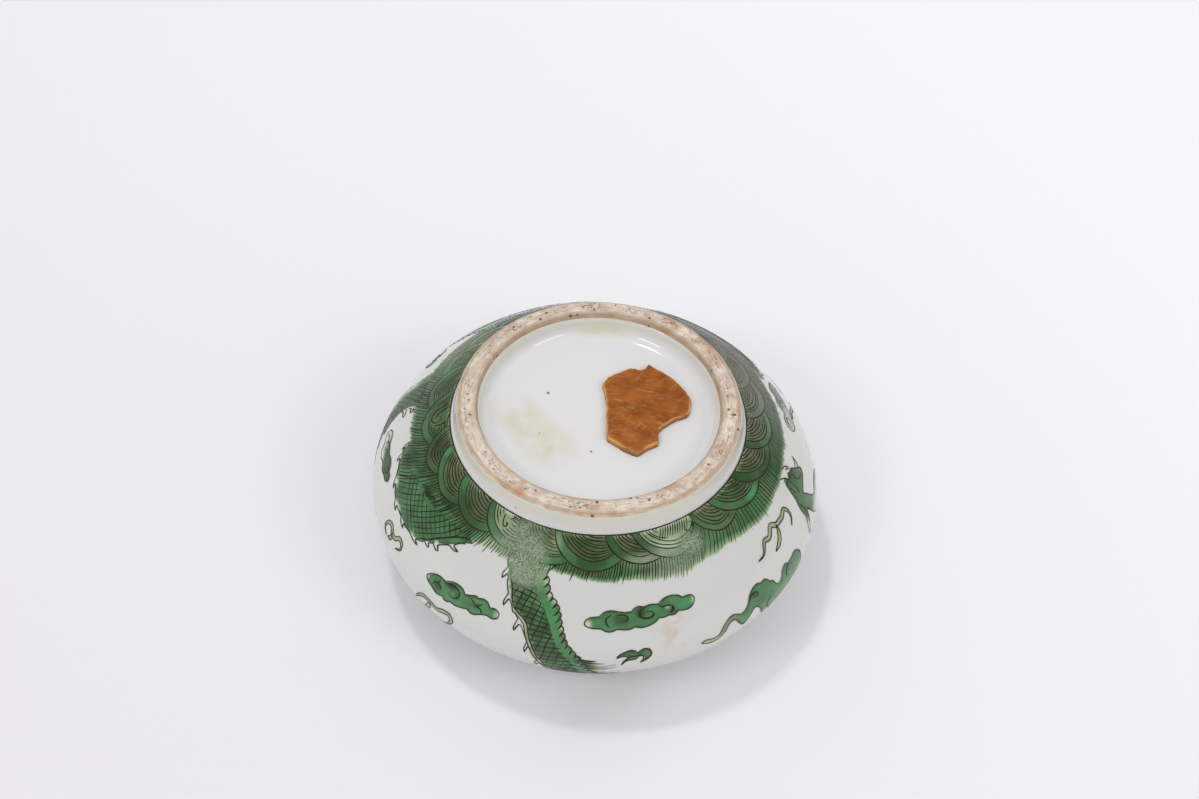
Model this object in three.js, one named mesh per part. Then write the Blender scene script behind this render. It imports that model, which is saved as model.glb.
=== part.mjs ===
// Brush washer: a low round porcelain water bowl for a writing desk.
// It stands mouth down, as it does when its base is shown, with the foot ring on top.
// Units are millimetres. The origin is the middle of the mouth rim, and +Z runs out through the foot.
import * as THREE from 'three';

// The bowl
const BODY_DIAMETER = 90; // widest line of the belly
const BODY_HEIGHT = 42; // mouth rim to foot face
const BELLY_HEIGHT = 17.6; // mouth rim to the widest line
const WALL = 3; // belly wall
const BASE_THICKNESS = 3.6; // plate between the water and the foot recess
const WATER_FLOOR_DIAMETER = 40; // flat part of the inside

// The mouth
const MOUTH_DIAMETER = 51; // clear opening
const RIM_LAND = 1; // width of the flat ring at the rim
const RIM_ROUND = 0.7; // radius of the rim's inner edge
const RIM_SLOPE = 25; // degrees, how steeply the wall leaves the rim

// The foot ring
const FOOT_HEIGHT = 4.7; // root of the foot to its face
const FOOT_ROOT_DIAMETER = 58.5; // where the foot leaves the shoulder
const FOOT_FACE_DIAMETER = 54.1; // outer edge of the flat face
const FOOT_FACE_WIDTH = 2.8; // flat, bare face that the bowl stands on in use
const OUTER_BEVEL_RUN = 1.05; // bare bevel outside the face, across
const OUTER_BEVEL_DROP = 0.9; // the same bevel, down
const INNER_BEVEL_RUN = 0.3; // bare edge inside the face, across
const INNER_BEVEL_DROP = 1.1; // the same edge, down
const SHOULDER_SLOPE = 30; // degrees, how steeply the shoulder leaves the foot

// The recess inside the foot ring
const RECESS_DEPTH = 4.7; // foot face to base
const RECESS_TAPER = 0.35; // how far its wall leans in
const RECESS_COVE = 1.2; // radius where the wall meets the base

// Fullness of the curves: the length of a curve's handle as a share of its span
const SHOULDER_TOP_PULL = 0.44;
const SHOULDER_BELLY_PULL = 0.358;
const UNDERSIDE_BELLY_PULL = 0.46;
const UNDERSIDE_RIM_PULL = 0.477;
const INSIDE_TOP_PULL = 0.45;
const INSIDE_BELLY_PULL = 0.52;

// The remains of the wax seal on the base
const SEAL_LENGTH = 23.8;
const SEAL_WIDTH = 18.1;
const SEAL_THICKNESS = 1.4;
const SEAL_EDGE_GAP = 4; // seal to the edge of the base's flat, sideways
const SEAL_SHIFT = 2.4; // from the base's middle, lengthways

// Fineness
const ROUND_STEPS = 64;
const CURVE_STEPS = 7;
const EDGE_STEPS = 3;

const bellyRadius = BODY_DIAMETER / 2;
const mouthRadius = MOUTH_DIAMETER / 2;
const rimRadius = mouthRadius + RIM_ROUND + RIM_LAND;
const footFaceRadius = FOOT_FACE_DIAMETER / 2;
const footInnerRadius = footFaceRadius - FOOT_FACE_WIDTH;
const recessRadius = footInnerRadius - INNER_BEVEL_RUN - RECESS_TAPER;
const baseFlatRadius = recessRadius - RECESS_COVE;
const baseHeight = BODY_HEIGHT - RECESS_DEPTH;

const point = (radius, height) => new THREE.Vector2(radius, height);

// Points of a curve between two profile points, led by one handle at each end.
function curve(start, startHandle, endHandle, end) {
  return new THREE.CubicBezierCurve(start, startHandle, endHandle, end).getPoints(CURVE_STEPS);
}

// Points of a quarter round from one height on a wall to a flat.
function quarterRound(centre, radius, startAngle, endAngle) {
  const points = [];
  for (let step = 0; step <= EDGE_STEPS; step += 1) {
    const angle = THREE.MathUtils.lerp(startAngle, endAngle, step / EDGE_STEPS);
    points.push(point(centre.x + radius * Math.cos(angle), centre.y + radius * Math.sin(angle)));
  }
  return points;
}

// The inside, from the middle of the water floor down to the mouth.
function insideProfile() {
  const innerRadius = bellyRadius - WALL;
  const floorRadius = WATER_FLOOR_DIAMETER / 2;
  const floorHeight = baseHeight - BASE_THICKNESS;
  const rise = Math.tan(THREE.MathUtils.degToRad(RIM_SLOPE));
  const slantWall = WALL / Math.cos(THREE.MathUtils.degToRad(RIM_SLOPE));
  const throatHeight = slantWall - (rimRadius - mouthRadius) * rise;

  const topHandle = (innerRadius - floorRadius) * INSIDE_TOP_PULL;
  const upperHandle = (floorHeight - BELLY_HEIGHT) * INSIDE_BELLY_PULL;
  const lowerHandle = (BELLY_HEIGHT - throatHeight) * UNDERSIDE_BELLY_PULL;
  const rimHandle = (innerRadius - mouthRadius) * UNDERSIDE_RIM_PULL;

  const shoulder = curve(
    point(floorRadius, floorHeight),
    point(floorRadius + topHandle, floorHeight),
    point(innerRadius, BELLY_HEIGHT + upperHandle),
    point(innerRadius, BELLY_HEIGHT),
  );
  const underside = curve(
    point(innerRadius, BELLY_HEIGHT),
    point(innerRadius, BELLY_HEIGHT - lowerHandle),
    point(mouthRadius + rimHandle, throatHeight + rimHandle * rise),
    point(mouthRadius, throatHeight),
  );
  return [point(0, floorHeight), ...shoulder, ...underside.slice(1)];
}

// The rim: a rounded inner edge and a narrow flat ring at height 0.
function rimProfile() {
  const centre = point(mouthRadius + RIM_ROUND, RIM_ROUND);
  return [...quarterRound(centre, RIM_ROUND, Math.PI, 1.5 * Math.PI), point(rimRadius, 0)];
}

// The outside, from the rim up over the belly and the shoulder to the foot's root.
function outsideProfile() {
  const rootRadius = FOOT_ROOT_DIAMETER / 2;
  const rootHeight = BODY_HEIGHT - FOOT_HEIGHT;
  const rimRise = Math.tan(THREE.MathUtils.degToRad(RIM_SLOPE));
  const footRise = Math.tan(THREE.MathUtils.degToRad(SHOULDER_SLOPE));

  const rimHandle = (bellyRadius - rimRadius) * UNDERSIDE_RIM_PULL;
  const lowerHandle = BELLY_HEIGHT * UNDERSIDE_BELLY_PULL;
  const upperHandle = (rootHeight - BELLY_HEIGHT) * SHOULDER_BELLY_PULL;
  const footHandle = (bellyRadius - rootRadius) * SHOULDER_TOP_PULL;

  const underside = curve(
    point(rimRadius, 0),
    point(rimRadius + rimHandle, rimHandle * rimRise),
    point(bellyRadius, BELLY_HEIGHT - lowerHandle),
    point(bellyRadius, BELLY_HEIGHT),
  );
  const shoulder = curve(
    point(bellyRadius, BELLY_HEIGHT),
    point(bellyRadius, BELLY_HEIGHT + upperHandle),
    point(rootRadius + footHandle, rootHeight - footHandle * footRise),
    point(rootRadius, rootHeight),
  );
  return [...underside.slice(1), ...shoulder.slice(1)];
}

// The foot ring and the recess inside it, ending in the middle of the base.
function footProfile() {
  const coveCentre = point(baseFlatRadius, baseHeight + RECESS_COVE);
  return [
    point(footFaceRadius + OUTER_BEVEL_RUN, BODY_HEIGHT - OUTER_BEVEL_DROP),
    point(footFaceRadius, BODY_HEIGHT),
    point(footInnerRadius, BODY_HEIGHT),
    point(footInnerRadius - INNER_BEVEL_RUN, BODY_HEIGHT - INNER_BEVEL_DROP),
    ...quarterRound(coveCentre, RECESS_COVE, 0, -0.5 * Math.PI),
    point(0, baseHeight),
  ];
}

// The fired bowl: body, foot ring and glaze are one piece of porcelain.
function makeBowl() {
  const profile = [...insideProfile(), ...rimProfile(), ...outsideProfile(), ...footProfile()];
  const geometry = new THREE.LatheGeometry(profile, ROUND_STEPS);
  geometry.rotateX(Math.PI / 2);
  const glaze = new THREE.MeshStandardMaterial({ color: 0xe4e5e0, roughness: 0.12, metalness: 0 });
  const bowl = new THREE.Mesh(geometry, glaze);
  bowl.name = 'porcelain_bowl';
  return bowl;
}

// The seal's broken outline, in shares of half its width and half its length.
const SEAL_OUTLINE = [
  [-1.0, 0.53], [-0.91, 0.65], [-0.66, 0.79], [-0.39, 0.91], [-0.17, 0.87], [-0.06, 0.91],
  [0.01, 1.0], [0.12, 0.96], [0.5, 0.76], [0.77, 0.55], [0.96, 0.32], [1.0, 0.24],
  [0.97, -0.01], [0.92, -0.08], [0.66, -0.18], [0.4, -0.35], [0.28, -0.47], [0.3, -0.6],
  [0.29, -0.75], [0.07, -0.85], [-0.14, -1.0], [-0.4, -0.93], [-0.82, -0.7], [-0.87, -0.49],
  [-0.88, 0.07], [-0.99, 0.34],
];

// What is left of a wax seal, stuck flat on the base.
function makeSeal() {
  const outline = SEAL_OUTLINE.map(([across, along]) =>
    new THREE.Vector2(across * SEAL_WIDTH / 2, along * SEAL_LENGTH / 2));
  const geometry = new THREE.ExtrudeGeometry(new THREE.Shape(outline), {
    depth: SEAL_THICKNESS,
    bevelEnabled: false,
  });
  const wax = new THREE.MeshStandardMaterial({ color: 0xa55c23, roughness: 0.45, metalness: 0 });
  const seal = new THREE.Mesh(geometry, wax);
  seal.name = 'wax_seal';
  seal.position.set(baseFlatRadius - SEAL_EDGE_GAP - SEAL_WIDTH / 2, SEAL_SHIFT, baseHeight);
  return seal;
}

const washer = new THREE.Group();
washer.add(makeBowl(), makeSeal());

export default washer;
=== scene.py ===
# %% [markdown]
# A porcelain brush washer, shown mouth down with its foot ring on top.
# The measured model is the frame, and everything here is built around it in metres.
# We keep the frame's own box, and take the bowl's size and the seal's place from it.

# %% Load the frame
import math

import bpy
import numpy as np
from mathutils import Matrix, Vector, noise
from mathutils.geometry import delaunay_2d_cdt


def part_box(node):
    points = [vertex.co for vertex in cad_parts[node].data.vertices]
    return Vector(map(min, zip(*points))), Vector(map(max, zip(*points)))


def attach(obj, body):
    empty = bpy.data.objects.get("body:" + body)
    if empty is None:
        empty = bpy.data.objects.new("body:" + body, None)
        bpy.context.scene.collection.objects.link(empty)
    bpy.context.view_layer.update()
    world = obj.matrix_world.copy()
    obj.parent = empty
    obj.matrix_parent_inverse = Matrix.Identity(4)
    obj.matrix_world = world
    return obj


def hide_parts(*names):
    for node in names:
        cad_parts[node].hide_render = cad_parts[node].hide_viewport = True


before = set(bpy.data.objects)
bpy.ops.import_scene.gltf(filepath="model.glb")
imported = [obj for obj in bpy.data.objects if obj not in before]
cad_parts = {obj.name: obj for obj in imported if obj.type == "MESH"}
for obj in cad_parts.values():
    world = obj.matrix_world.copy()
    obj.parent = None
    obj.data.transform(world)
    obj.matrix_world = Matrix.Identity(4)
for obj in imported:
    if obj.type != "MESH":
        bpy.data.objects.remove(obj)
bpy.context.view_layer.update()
MM = 0.001
bowl_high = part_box("porcelain_bowl")[1]
seal_low, seal_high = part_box("wax_seal")
BELLY_RADIUS = bowl_high.x
HEIGHT = bowl_high.z
print("bowl", round(BELLY_RADIUS * 2 / MM, 1), "mm across,", round(HEIGHT / MM, 1), "mm high")

# %% [markdown]
# The camera looks down at the washer from a bit more than half a metre, through a long lens.
# A short lens close by would swell the near side, and a long one keeps the round foot nearly a true
# ellipse. The small roll is the photographer's.

# %% Camera
BELLY_HEIGHT = 17.6 * MM
CAMERA_DISTANCE = 569.7 * MM
CAMERA_ELEVATION = math.radians(50.55)
CAMERA_AIM_UP = math.radians(1.69)
CAMERA_ROLL = math.radians(3.09)
FOCAL_LENGTH = 84.07
SENSOR_WIDTH = 36.0
NEAREST_SEEN = 10 * MM
FARTHEST_SEEN = 20.0


def add_camera():
    data = bpy.data.cameras.new("camera")
    data.lens = FOCAL_LENGTH
    data.sensor_width = SENSOR_WIDTH
    data.clip_start = NEAREST_SEEN
    data.clip_end = FARTHEST_SEEN
    camera = bpy.data.objects.new("camera", data)
    bpy.context.scene.collection.objects.link(camera)
    reach = Vector((0, -math.cos(CAMERA_ELEVATION), math.sin(CAMERA_ELEVATION))) * CAMERA_DISTANCE
    turn = Matrix.Rotation(math.pi / 2 - CAMERA_ELEVATION + CAMERA_AIM_UP, 4, "X")
    roll = Matrix.Rotation(CAMERA_ROLL, 4, "Z")
    camera.matrix_world = Matrix.Translation(reach + Vector((0, 0, BELLY_HEIGHT))) @ turn @ roll
    bpy.context.scene.camera = camera
    return camera


camera = add_camera()
print("camera", round(camera.location.z / MM), "mm over the table")

# %% [markdown]
# A thrown pot is a line turned round an axis, so the bowl starts as its profile.
# A list of measured points would do, but the long outer wall is smoother as two curves with handles
# that meet at the widest line. We keep that wall as a table of radius, height and length along it,
# because the painter's marks are placed by an angle round the pot and a length down from the foot.

# %% The wall's profile
FOOT_HEIGHT = 4.7 * MM
ROOT_RADIUS = 29.25 * MM
ROOT_HEIGHT = HEIGHT - FOOT_HEIGHT
RIM_RADIUS = 27.2 * MM
MOUTH_RADIUS = 25.5 * MM
RIM_SLOPE = math.radians(25)
RIM_RISE = math.tan(RIM_SLOPE)
FOOT_RISE = math.tan(math.radians(30))
# Each handle's reach, as a share of the room it has.
FOOT_PULL = 0.44
BELLY_PULL = 0.358
UNDER_PULL = 0.46
RIM_PULL = 0.477
WALL_STEPS = 60


def bezier(start, start_handle, end_handle, end, steps):
    """Points of one curve with two handles."""
    t = np.linspace(0, 1, steps + 1)[:, None]
    corners = [np.array(p, float) for p in (start, start_handle, end_handle, end)]
    weights = ((1 - t) ** 3, 3 * t * (1 - t) ** 2, 3 * t * t * (1 - t), t**3)
    return sum(w * c for w, c in zip(weights, corners))


def outer_wall():
    """Radius and height from the foot's root, over the belly, to the rim."""
    foot_pull = (BELLY_RADIUS - ROOT_RADIUS) * FOOT_PULL
    belly_pull = (ROOT_HEIGHT - BELLY_HEIGHT) * BELLY_PULL
    under_pull = BELLY_HEIGHT * UNDER_PULL
    rim_pull = (BELLY_RADIUS - RIM_RADIUS) * RIM_PULL
    shoulder = bezier(
        (ROOT_RADIUS, ROOT_HEIGHT),
        (ROOT_RADIUS + foot_pull, ROOT_HEIGHT - foot_pull * FOOT_RISE),
        (BELLY_RADIUS, BELLY_HEIGHT + belly_pull),
        (BELLY_RADIUS, BELLY_HEIGHT),
        WALL_STEPS,
    )
    underside = bezier(
        (BELLY_RADIUS, BELLY_HEIGHT),
        (BELLY_RADIUS, BELLY_HEIGHT - under_pull),
        (RIM_RADIUS + rim_pull, rim_pull * RIM_RISE),
        (RIM_RADIUS, 0),
        WALL_STEPS,
    )
    return np.concatenate([shoulder, underside[1:]])


WALL = outer_wall()
STEP_LENGTHS = np.hypot(*np.diff(WALL, axis=0).T)
WALL_LENGTH = np.concatenate([[0], np.cumsum(STEP_LENGTHS)])
print("painted wall", round(WALL_LENGTH[-1] / MM, 1), "mm from foot to rim")

# %% [markdown]
# The foot ring is bare clay on its flat face and its two bevels, because glaze there would weld
# the pot to the kiln shelf. The glaze stops short in a soft rolled edge. One line with one finish
# couldn't show that edge, so the profile is made of four lengths: the glazed outside, the bare
# foot, the glazed recess and the water side.

# %% The foot's and the inside's profiles
GLAZE_STOP_RADIUS = 28.15 * MM
BEVEL_DROP = 0.9 * MM
FOOT_FACE_RADIUS = 27.05 * MM
FOOT_INNER_RADIUS = 24.25 * MM
INNER_DROP = 1.1 * MM
RECESS_WALL_RADIUS = 23.6 * MM
RECESS_DEPTH = 4.7 * MM
BASE_HEIGHT = HEIGHT - RECESS_DEPTH
POOLED_CORNER = 3.0 * MM
GLAZE_ROLL = 0.08 * MM
GLAZE_END_HEIGHT = HEIGHT - BEVEL_DROP
CLAY_END_HEIGHT = HEIGHT - INNER_DROP
# A handle that holds the foot's outer wall nearly upright.
FOOT_WALL_HANDLE = (28.45 * MM, HEIGHT - 3.2 * MM)
FACE_ROUND = 0.45 * MM
WALL_THICKNESS = 3.0 * MM
BASE_THICKNESS = 3.6 * MM
# Where the floor begins to curve up, and the radius of its handle there.
FLOOR_HANDLES = (20.0 * MM, 29.9 * MM)
# How far the water side's handles reach up and down from the widest line.
INNER_PULL_UP = 8.4 * MM
INNER_PULL_DOWN = 6.9 * MM
LIP_ROUND = 0.7 * MM
INNER_STEPS = 20


def arc(centre, radius, start, end, steps):
    """Points of a round, by its centre and two angles in degrees."""
    a = np.radians(np.linspace(start, end, steps + 1))
    return np.stack([centre[0] + radius * np.cos(a), centre[1] + radius * np.sin(a)], 1)


def level_line(start, end, level, count):
    """Points with one second value, and a first value that runs evenly from start to end."""
    return np.stack([np.linspace(start, end, count), np.full(count, level)], 1)


glazed_outside = np.concatenate([
    WALL[::-1],
    bezier(
        (ROOT_RADIUS, ROOT_HEIGHT),
        (ROOT_RADIUS - 0.5 * MM, ROOT_HEIGHT + 0.35 * MM),
        FOOT_WALL_HANDLE,
        (GLAZE_STOP_RADIUS + GLAZE_ROLL, GLAZE_END_HEIGHT - 0.25 * MM),
        14,
    )[1:],
    arc((GLAZE_STOP_RADIUS - 0.12 * MM, GLAZE_END_HEIGHT - 0.2 * MM), 0.2 * MM, 10, 75, 4),
])
bare_foot = np.concatenate([
    [(GLAZE_STOP_RADIUS - 0.1 * MM, GLAZE_END_HEIGHT - 0.12 * MM)],
    [(GLAZE_STOP_RADIUS - 0.22 * MM, GLAZE_END_HEIGHT + 0.06 * MM)],
    bezier(
        (GLAZE_STOP_RADIUS - 0.5 * MM, HEIGHT - 0.62 * MM),
        (FOOT_FACE_RADIUS + 0.25 * MM, HEIGHT - 0.15 * MM),
        (FOOT_FACE_RADIUS + 0.1 * MM, HEIGHT),
        (FOOT_FACE_RADIUS - 0.1 * MM, HEIGHT),
        5,
    ),
    level_line(FOOT_FACE_RADIUS - FACE_ROUND, FOOT_INNER_RADIUS + FACE_ROUND, HEIGHT, 6),
    arc((FOOT_INNER_RADIUS + 0.3 * MM, HEIGHT - 0.3 * MM), 0.3 * MM, 90, 175, 4),
    [(FOOT_INNER_RADIUS - 0.2 * MM, CLAY_END_HEIGHT + 0.1 * MM)],
    [(FOOT_INNER_RADIUS - 0.24 * MM, CLAY_END_HEIGHT - 0.1 * MM)],
])


def inside_profile():
    """The recess from its glaze edge to the axis, and the water side from the axis to the rim."""
    inner_radius = BELLY_RADIUS - WALL_THICKNESS
    floor_height = BASE_HEIGHT - BASE_THICKNESS
    throat = WALL_THICKNESS / math.cos(RIM_SLOPE) - (RIM_RADIUS - MOUTH_RADIUS) * RIM_RISE
    rim_pull = (inner_radius - MOUTH_RADIUS) * RIM_PULL
    corner_radius = RECESS_WALL_RADIUS - POOLED_CORNER
    recess = np.concatenate([
        [(FOOT_INNER_RADIUS - 0.3 * MM, CLAY_END_HEIGHT - 0.02 * MM)],
        [(FOOT_INNER_RADIUS - 0.4 * MM, CLAY_END_HEIGHT - 0.3 * MM)],
        arc((corner_radius, BASE_HEIGHT + POOLED_CORNER), POOLED_CORNER, 0, -90, 14),
        level_line(corner_radius - 0.3 * MM, 0, BASE_HEIGHT, 12),
    ])
    water_side = np.concatenate([
        [(0, floor_height)],
        bezier(
            (FLOOR_HANDLES[0], floor_height), (FLOOR_HANDLES[1], floor_height),
            (inner_radius, BELLY_HEIGHT + INNER_PULL_UP), (inner_radius, BELLY_HEIGHT), INNER_STEPS,
        ),
        bezier(
            (inner_radius, BELLY_HEIGHT), (inner_radius, BELLY_HEIGHT - INNER_PULL_DOWN),
            (MOUTH_RADIUS + rim_pull, throat + rim_pull * RIM_RISE), (MOUTH_RADIUS, throat), INNER_STEPS,
        )[1:],
        arc((MOUTH_RADIUS + LIP_ROUND, LIP_ROUND), LIP_ROUND, 180, 270, 6),
        [(RIM_RADIUS, 0)],
    ])
    return recess, water_side


recess_profile, water_profile = inside_profile()
print("profile points", len(glazed_outside) + len(bare_foot) + len(recess_profile) + len(water_profile))

# %% [markdown]
# A potter turns the clay, and we turn the profile: one ring of points for each of its points, and
# four-sided faces between the rings. We write the mesh directly instead of using a Screw modifier,
# because the glaze and the bare clay are two materials, and each length must know its own.

# %% Turn the bowl
ROUND_STEPS = 256


def link(name, vertices, faces, smooth=True):
    """A new mesh object, linked to the scene."""
    mesh = bpy.data.meshes.new(name)
    mesh.from_pydata([tuple(v) for v in vertices], [], [tuple(f) for f in faces])
    mesh.update()
    if smooth:
        mesh.polygons.foreach_set("use_smooth", [True] * len(mesh.polygons))
    piece = bpy.data.objects.new(name, mesh)
    bpy.context.scene.collection.objects.link(piece)
    return piece


def turn(name, profile, slots):
    """Turns a closed line of (radius, height) points. slots gives each point's material number."""
    vertices, rings, faces, materials = [], [], [], []
    for radius, height in profile:
        if radius < 1e-6:
            rings.append([len(vertices)] * ROUND_STEPS)
            vertices.append((0, 0, height))
            continue
        start = len(vertices)
        for step in range(ROUND_STEPS):
            a = 2 * math.pi * step / ROUND_STEPS
            vertices.append((radius * math.sin(a), -radius * math.cos(a), height))
        rings.append(list(range(start, start + ROUND_STEPS)))
    for k in range(len(rings) - 1):
        low, high = rings[k], rings[k + 1]
        for step in range(ROUND_STEPS):
            after = (step + 1) % ROUND_STEPS
            face = [low[step], low[after], high[after], high[step]]
            face = list(dict.fromkeys(face))
            if len(face) >= 3:
                faces.append(face)
                materials.append(slots[k])
    piece = link(name, vertices, faces)
    piece.data.polygons.foreach_set("material_index", materials)
    return piece


GLAZE_SLOT, BARE_SLOT = 0, 1
bowl_profile = np.concatenate([water_profile, glazed_outside[1:], bare_foot, recess_profile])
bowl_slots = (
    [GLAZE_SLOT] * (len(water_profile) + len(glazed_outside) - 2)
    + [BARE_SLOT] * (len(bare_foot) + 1)
    + [GLAZE_SLOT] * len(recess_profile)
)
bowl = turn("glazed_bowl", bowl_profile, bowl_slots)
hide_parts("porcelain_bowl")
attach(bowl, "root")
print("bowl faces", len(bowl.data.polygons))

# %% [markdown]
# A finish in Blender is a tree of small nodes that feed one shader. Built by hand, such a tree
# takes many lines, so we write a helper for each thing that our finishes do again and again: find
# a place on the pot, make noise or dots there, stretch a value, and blend one colour into another.

# %% Helpers for the finishes
def new_material(name):
    """A material with only its Principled shader and output."""
    material = bpy.data.materials.new(name)
    material.use_nodes = True
    tree = material.node_tree
    return material, tree, tree.nodes["Principled BSDF"]


def add(tree, kind, **values):
    """A node with its properties and input values set by name."""
    node = tree.nodes.new(kind)
    for key, value in values.items():
        if key in node.inputs:
            node.inputs[key].default_value = value
        else:
            setattr(node, key, value)
    return node


def noise_at(tree, coordinates, scale, detail=3.0):
    """A noise value between 0 and 1. scale is in waves per metre."""
    node = add(tree, "ShaderNodeTexNoise", Scale=scale, Detail=detail)
    tree.links.new(coordinates, node.inputs["Vector"])
    return node.outputs["Fac"]


def between(tree, value, low, high):
    """The value stretched so that low becomes 0 and high becomes 1."""
    node = tree.nodes.new("ShaderNodeMapRange")
    node.inputs["From Min"].default_value = low
    node.inputs["From Max"].default_value = high
    tree.links.new(value, node.inputs["Value"])
    return node.outputs["Result"]


def blend_colours(tree, share, first, second):
    """One colour mixed into another. Each is a colour or a socket."""
    node = add(tree, "ShaderNodeMix", data_type="RGBA")
    tree.links.new(share, node.inputs[0])
    for socket, value in ((node.inputs[6], first), (node.inputs[7], second)):
        if isinstance(value, tuple):
            socket.default_value = value
        else:
            tree.links.new(value, socket)
    return node.outputs[2]


def near_spot(tree, coordinates, place, radius):
    """1 at a place on the pot, fading to 0 at a radius."""
    node = add(tree, "ShaderNodeVectorMath", operation="DISTANCE")
    tree.links.new(coordinates, node.inputs[0])
    node.inputs[1].default_value = place
    return between(tree, node.outputs["Value"], radius, 0.0)


def times(tree, first, second):
    """A socket times another socket, or a number, held between 0 and 1."""
    node = add(tree, "ShaderNodeMath", operation="MULTIPLY", use_clamp=True)
    tree.links.new(first, node.inputs[0])
    if isinstance(second, float):
        node.inputs[1].default_value = second
    else:
        tree.links.new(second, node.inputs[1])
    return node.outputs[0]


def plus(tree, first, second):
    """The sum of a socket and another socket, or a number."""
    node = add(tree, "ShaderNodeMath", operation="ADD")
    tree.links.new(first, node.inputs[0])
    if isinstance(second, float):
        node.inputs[1].default_value = second
    else:
        tree.links.new(second, node.inputs[1])
    return node.outputs[0]


def bump(tree, shader, height, strength, distance):
    """Lets a value roughen the surface. distance is the depth in metres."""
    node = add(tree, "ShaderNodeBump", Strength=strength, Distance=distance)
    tree.links.new(height, node.inputs["Height"])
    tree.links.new(node.outputs["Normal"], shader.inputs["Normal"])


def place_on_pot(tree):
    """Each point's own place in metres, which stays with the pot when the pot moves."""
    return add(tree, "ShaderNodeTexCoord").outputs["Object"]


def dots_at(tree, coordinates, scale):
    """How far a point is from the nearest of many scattered dots. scale is in dots per metre."""
    node = add(tree, "ShaderNodeTexVoronoi", Scale=scale)
    tree.links.new(coordinates, node.inputs["Vector"])
    return node.outputs["Distance"]


def length_along(tree, coordinates, direction):
    """How far a point lies along a direction."""
    node = add(tree, "ShaderNodeVectorMath", operation="DOT_PRODUCT")
    tree.links.new(coordinates, node.inputs[0])
    node.inputs[1].default_value = direction
    return node.outputs["Value"]


def axis_distance(tree, coordinates):
    """How far a point is from the pot's axis, in metres."""
    flat = add(tree, "ShaderNodeVectorMath", operation="MULTIPLY")
    tree.links.new(coordinates, flat.inputs[0])
    flat.inputs[1].default_value = (1, 1, 0)
    node = add(tree, "ShaderNodeVectorMath", operation="LENGTH")
    tree.links.new(flat.outputs["Vector"], node.inputs[0])
    return node.outputs["Value"]


def height_of(tree, coordinates):
    """The height of a point over the table, in metres."""
    node = tree.nodes.new("ShaderNodeSeparateXYZ")
    tree.links.new(coordinates, node.inputs["Vector"])
    return node.outputs["Z"]


def stored(tree, name):
    """A number that the mesh keeps for each of its points."""
    return add(tree, "ShaderNodeAttribute", attribute_name=name).outputs["Fac"]


# %% [markdown]
# Porcelain glaze is a clear glass over white clay: a pale, faintly green-grey colour and a very
# smooth surface. A picture of the glaze would blur close up, so ours comes from one Principled
# shader with low roughness, and noise makes its colour wander. In the recess the same glaze is
# painted whiter: painted light on the upturned base, and the shade on the recess wall lifted.
# Pinholes show as tiny brown dots, and old stains lie on the base, in its corner at the back, and
# on the wall.

# %% Glaze
# The same glaze painted lighter for the recess: painted light on the base and over the wall's shade.
LIT_RECESS_GLAZE = (0.775, 0.775, 0.77, 1)
GLAZE_COLOUR = (0.585, 0.59, 0.565, 1)
GLAZE_WARM = (0.605, 0.59, 0.54, 1)
FOOT_GLAZE = (0.64, 0.605, 0.51, 1)
STAIN_COLOUR = (0.66, 0.58, 0.37, 1)
SEEPED_BROWN = (0.52, 0.42, 0.30, 1)
PINHOLE_COLOUR = (0.25, 0.18, 0.11, 1)
SOOT_COLOUR = (0.05, 0.04, 0.035, 1)
# Each stain is its place to the right, to the back and over the base, its radius, all in mm, and
# its strength.
BASE_STAINS = [
    (-16.5, 0.5, 0.0, 6.0, 0.75), (-13.0, -3.5, 0.0, 6.0, 0.75), (-10.0, -8.5, 0.0, 7.0, 0.75),
    (-4.5, -6.5, 0.0, 6.0, 0.2), (-4.2, 22.4, 1.4, 2.2, 0.6), (-2.2, 22.7, 1.4, 2.0, 0.7),
    (-0.2, 22.8, 1.4, 2.0, 0.8), (1.8, 22.7, 1.4, 2.0, 0.7), (3.8, 22.5, 1.4, 2.2, 0.6),
]
WALL_STAIN = (17.0 * MM, -40.5 * MM, 22.5 * MM)
WALL_STAIN_RADIUS = 5.5 * MM
# Each speck is its place and its radius.
GLAZE_SPECKS = [
    ((-10.3 * MM, 6.1 * MM, BASE_HEIGHT), 0.5 * MM),
    ((-1.1 * MM, -8.6 * MM, BASE_HEIGHT), 0.38 * MM),
    ((5.1 * MM, -41.6 * MM, 28.2 * MM), 0.6 * MM),
]
GLAZE_ROUGHNESS = 0.09
GLASS_IOR = 1.5


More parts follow.
